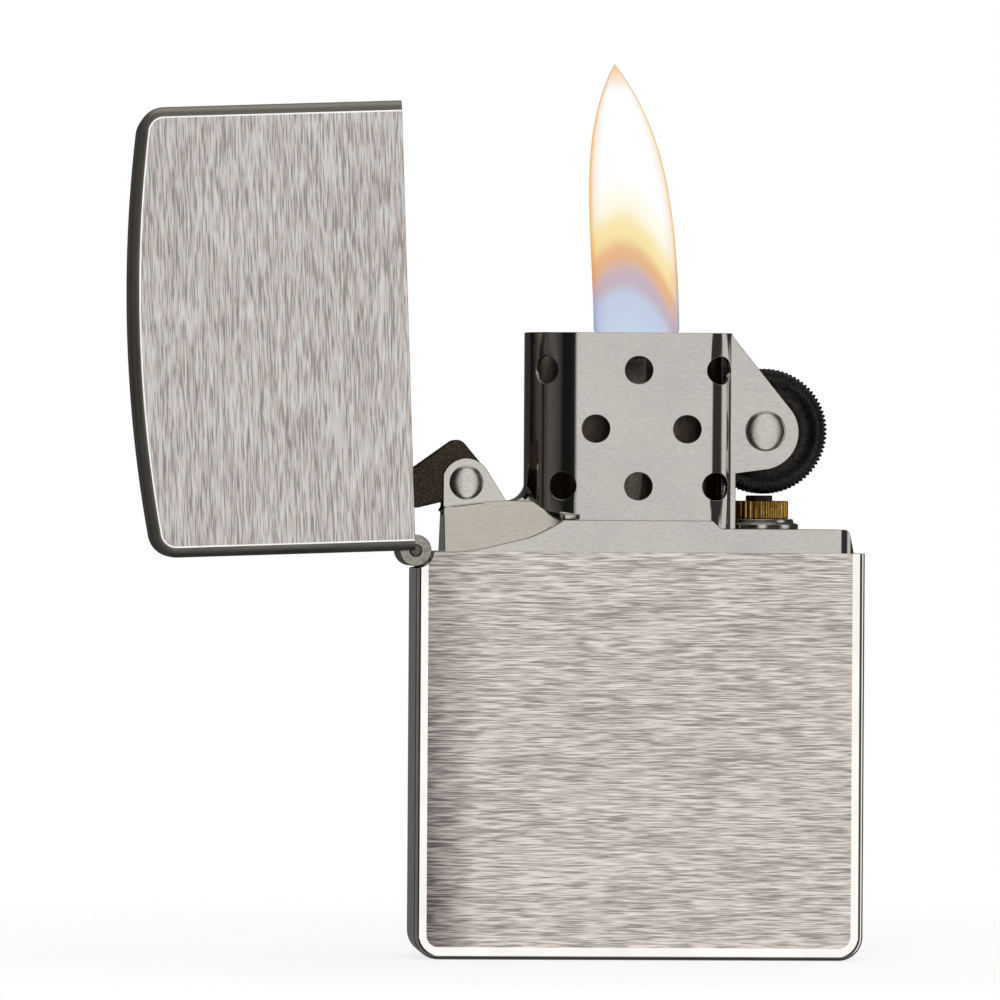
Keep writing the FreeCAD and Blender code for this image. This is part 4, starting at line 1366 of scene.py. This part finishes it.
# %% The flame's colours
def make_flame_finish():
    made, tree, shader = new_finish("flame_glow", roughness=1.0, emission_strength=1.0)
    shader.inputs["Base Color"].default_value = (0, 0, 0, 1)
    shader.inputs["Specular IOR Level"].default_value = 0.0
    place = add(tree, "ShaderNodeTexCoord").outputs["Object"]
    height = maths(tree, "DIVIDE", add(tree, "ShaderNodeSeparateXYZ", {0: place}).outputs["Z"], MM)
    edge = add(tree, "ShaderNodeAttribute", attribute_name="round_to_edge").outputs["Fac"]
    aside = maths(tree, "ADD", edge, 0.28)
    bend = maths(tree, "MULTIPLY", aside, aside)
    wisp = grain(tree, (260, 260, 120), detail=3.0)
    arched = maths(tree, "ADD", height, maths(tree, "MULTIPLY", bend, 3.6))
    arched = maths(tree, "ADD", arched, maths(tree, "MULTIPLY", wisp, 1.2))
    low, high = 52.0, 74.0
    share = add(tree, "ShaderNodeMapRange", {"Value": arched, "From Min": low, "From Max": high})

    def at(z):
        return (z - low) / (high - low)

    heart = ramp(tree, share.outputs["Result"],
                 [(at(52.4), display(198, 212, 230)), (at(55.2), display(196, 206, 228)),
                  (at(57.0), display(198, 180, 192)), (at(58.9), display(232, 184, 140)),
                  (at(60.7), display(250, 230, 172)), (at(63.4), display(255, 252, 236)),
                  (at(65.5), display(255, 255, 255))], "EASE")
    level = add(tree, "ShaderNodeMapRange", {"Value": height, "From Min": low, "From Max": high})
    rim = ramp(tree, level.outputs["Result"],
               [(at(52.0), display(150, 166, 208)), (at(54.2), display(172, 176, 206)),
                (at(56.0), display(214, 158, 118)), (at(60.0), display(238, 196, 122)),
                (at(70.0), display(240, 190, 112)), (at(73.5), display(206, 140, 78))])
    reach = maths(tree, "ABSOLUTE", edge)
    fringe = ramp(tree, reach, [(0.70, (0, 0, 0, 1)), (0.90, (0.32, 0.32, 0.32, 1)), (0.985, (1, 1, 1, 1))])
    tip = ramp(tree, level.outputs["Result"], [(at(71.6), (0, 0, 0, 1)), (at(73.9), (1, 1, 1, 1))])
    heart = mixed(tree, tip, heart, display(244, 196, 136))
    glow = mixed(tree, fringe, heart, rim)
    tree.links.new(glow, shader.inputs["Emission Color"])
    clear = maths(tree, "ADD", 0.90, maths(tree, "MULTIPLY", reach, 0.08))
    tree.links.new(clear, shader.inputs["Alpha"])
    return made


flame = finished(make_flame(), "flame", "insert", [make_flame_finish()], bevel=0)
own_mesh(flame)


# %% [markdown]
# ## The studio
#
# Bright metal only looks right with something to reflect. In a studio it stands between white
# cards, with black cards at the sides to draw dark lines along its edges. Here the cards are
# painted on the sky as a ramp of brightness round the horizon. They are placed for the front view, so
# the metal reads dark from behind. The camera itself sees a plain pale backdrop, because the sky is
# swapped for a flat tone on camera rays.

# %% The cards round the lighter
def make_sky():
    world = bpy.data.worlds.new("studio")
    bpy.context.scene.world = world
    world.use_nodes = True
    tree = world.node_tree
    tree.nodes.clear()
    way = add(tree, "ShaderNodeSeparateXYZ", {0: add(tree, "ShaderNodeTexCoord").outputs["Generated"]})
    backwards = maths(tree, "MULTIPLY", way.outputs["Y"], -1.0)
    bearing = maths(tree, "ARCTAN2", way.outputs["X"], backwards)
    turn = add(tree, "ShaderNodeMapRange", {"Value": bearing, "From Min": -math.pi, "From Max": math.pi})
    # Bearings in degrees from the front, positive towards +X, and the brightness of the card there.
    cards = [(-180, 0.12), (-150, 0.05), (-100, 0.06), (-92, 0.30), (-80, 0.06), (-66, 0.17), (-42, 0.09),
             (-34, 0.015), (-8, 0.02), (-3, 1.14), (13, 1.14), (19, 0.06), (62, 0.06), (70, 1.1), (90, 1.1),
             (98, 0.06), (140, 0.05), (180, 0.12)]
    round_stops = [((degrees + 180) / 360, (tone, tone, tone, 1)) for degrees, tone in cards]
    horizon = ramp(tree, turn.outputs["Result"], round_stops)
    up = add(tree, "ShaderNodeMapRange", {"Value": way.outputs["Z"], "From Min": -1.0, "From Max": 1.0})
    steep = ramp(tree, up.outputs["Result"],
                 [(0.0, (1, 1, 1, 1)), (0.12, (1, 1, 1, 1)), (0.22, (0, 0, 0, 1)), (0.74, (0, 0, 0, 1)),
                  (0.80, (1, 1, 1, 1))])
    ends = ramp(tree, up.outputs["Result"], [(0.0, (0.03, 0.03, 0.03, 1)), (0.5, (0.5, 0.5, 0.5, 1)),
                                             (0.76, (0.10, 0.09, 0.08, 1)), (0.88, (0.14, 0.13, 0.12, 1)),
                                             (0.95, (1.02, 1.0, 0.95, 1)), (1.0, (1.02, 1.0, 0.95, 1))])
    painted_sky = mixed(tree, steep, horizon, ends)
    cards_lit = add(tree, "ShaderNodeBackground", {"Color": painted_sky, "Strength": 1.0})
    backdrop = add(tree, "ShaderNodeBackground", {"Color": (1, 1, 1, 1), "Strength": 1.0})
    seen = add(tree, "ShaderNodeLightPath").outputs["Is Camera Ray"]
    chosen = add(tree, "ShaderNodeMixShader", {0: seen, 1: cards_lit.outputs[0], 2: backdrop.outputs[0]})
    add(tree, "ShaderNodeOutputWorld", {"Surface": chosen.outputs[0]})


make_sky()


def soft_light(name, place, size, power):
    """A large soft lamp aimed at the middle of the lighter."""
    lamp = bpy.data.lights.new(name, "AREA")
    lamp.shape = "DISK"
    lamp.size = size
    lamp.energy = power
    holder = bpy.data.objects.new(name, lamp)
    bpy.context.scene.collection.objects.link(holder)
    holder.location = place
    holder.rotation_euler = (Vector((0, 0, 0.035)) - holder.location).to_track_quat("-Z", "Y").to_euler()
    holder.visible_glossy = False


soft_light("key_lamp", Vector((-0.12, -0.55, 0.45)), 0.30, 0.9)
soft_light("back_lamp", Vector((0.25, 0.60, 0.40)), 0.40, 0.7)


# %% The table
def make_table():
    radius, steps = 0.16, 96
    made = block(circle(-6, 0, radius / MM, steps), -1.0, -0.01)
    made.name = "table"
    made.data.transform(Matrix.Scale(MM, 4))
    finish, tree, shader = new_finish("pale_table", roughness=0.85)
    place = add(tree, "ShaderNodeTexCoord").outputs["Object"]
    out = add(tree, "ShaderNodeVectorMath", {0: place}, operation="LENGTH").outputs["Value"]
    paper = grain(tree, (900, 900, 900), detail=4.0)
    tree.links.new(ramp(tree, paper, [(0.3, (0.27, 0.27, 0.27, 1)), (0.7, (0.30, 0.30, 0.30, 1))]),
                   shader.inputs["Base Color"])
    shader.inputs["Emission Color"].default_value = (1, 1, 1, 1)
    shader.inputs["Emission Strength"].default_value = 0.80
    fade = add(tree, "ShaderNodeMapRange", {"Value": out, "From Min": 0.045, "From Max": 0.14,
                                            "To Min": 1.0, "To Max": 0.0})
    tree.links.new(fade.outputs["Result"], shader.inputs["Alpha"])
    made.data.materials.append(finish)
    made.visible_glossy = False


make_table()


# %% [markdown]
# ## The camera
#
# A long lens keeps the lighter's sides nearly parallel, as product pictures have them. The camera
# stands level, a few degrees to the hinge side, so that the narrow side of the case just shows.

# %% The camera
VIEW_AZIMUTH = math.radians(-3.2)
VIEW_DISTANCE = 0.916
VIEW_ROLL = math.radians(0.35)
LENS_LENGTH = 400
SENSOR_WIDTH = 36
TARGET = Vector((-0.01145, -0.003, 0.03778))
lens = bpy.data.cameras.new("camera")
lens.lens = LENS_LENGTH
lens.sensor_width = SENSOR_WIDTH
lens.clip_start = 0.01
camera = bpy.data.objects.new("camera", lens)
bpy.context.scene.collection.objects.link(camera)
back = Vector((math.sin(VIEW_AZIMUTH), -math.cos(VIEW_AZIMUTH), 0))
camera.location = TARGET + back * VIEW_DISTANCE
facing = (-back).to_track_quat("-Z", "Y").to_matrix().to_4x4()
camera.matrix_world = Matrix.Translation(camera.location) @ facing @ Matrix.Rotation(VIEW_ROLL, 4, "Z")
bpy.context.scene.camera = camera
bpy.context.scene.view_settings.view_transform = "Standard"
print("camera at", [round(value, 4) for value in camera.location])
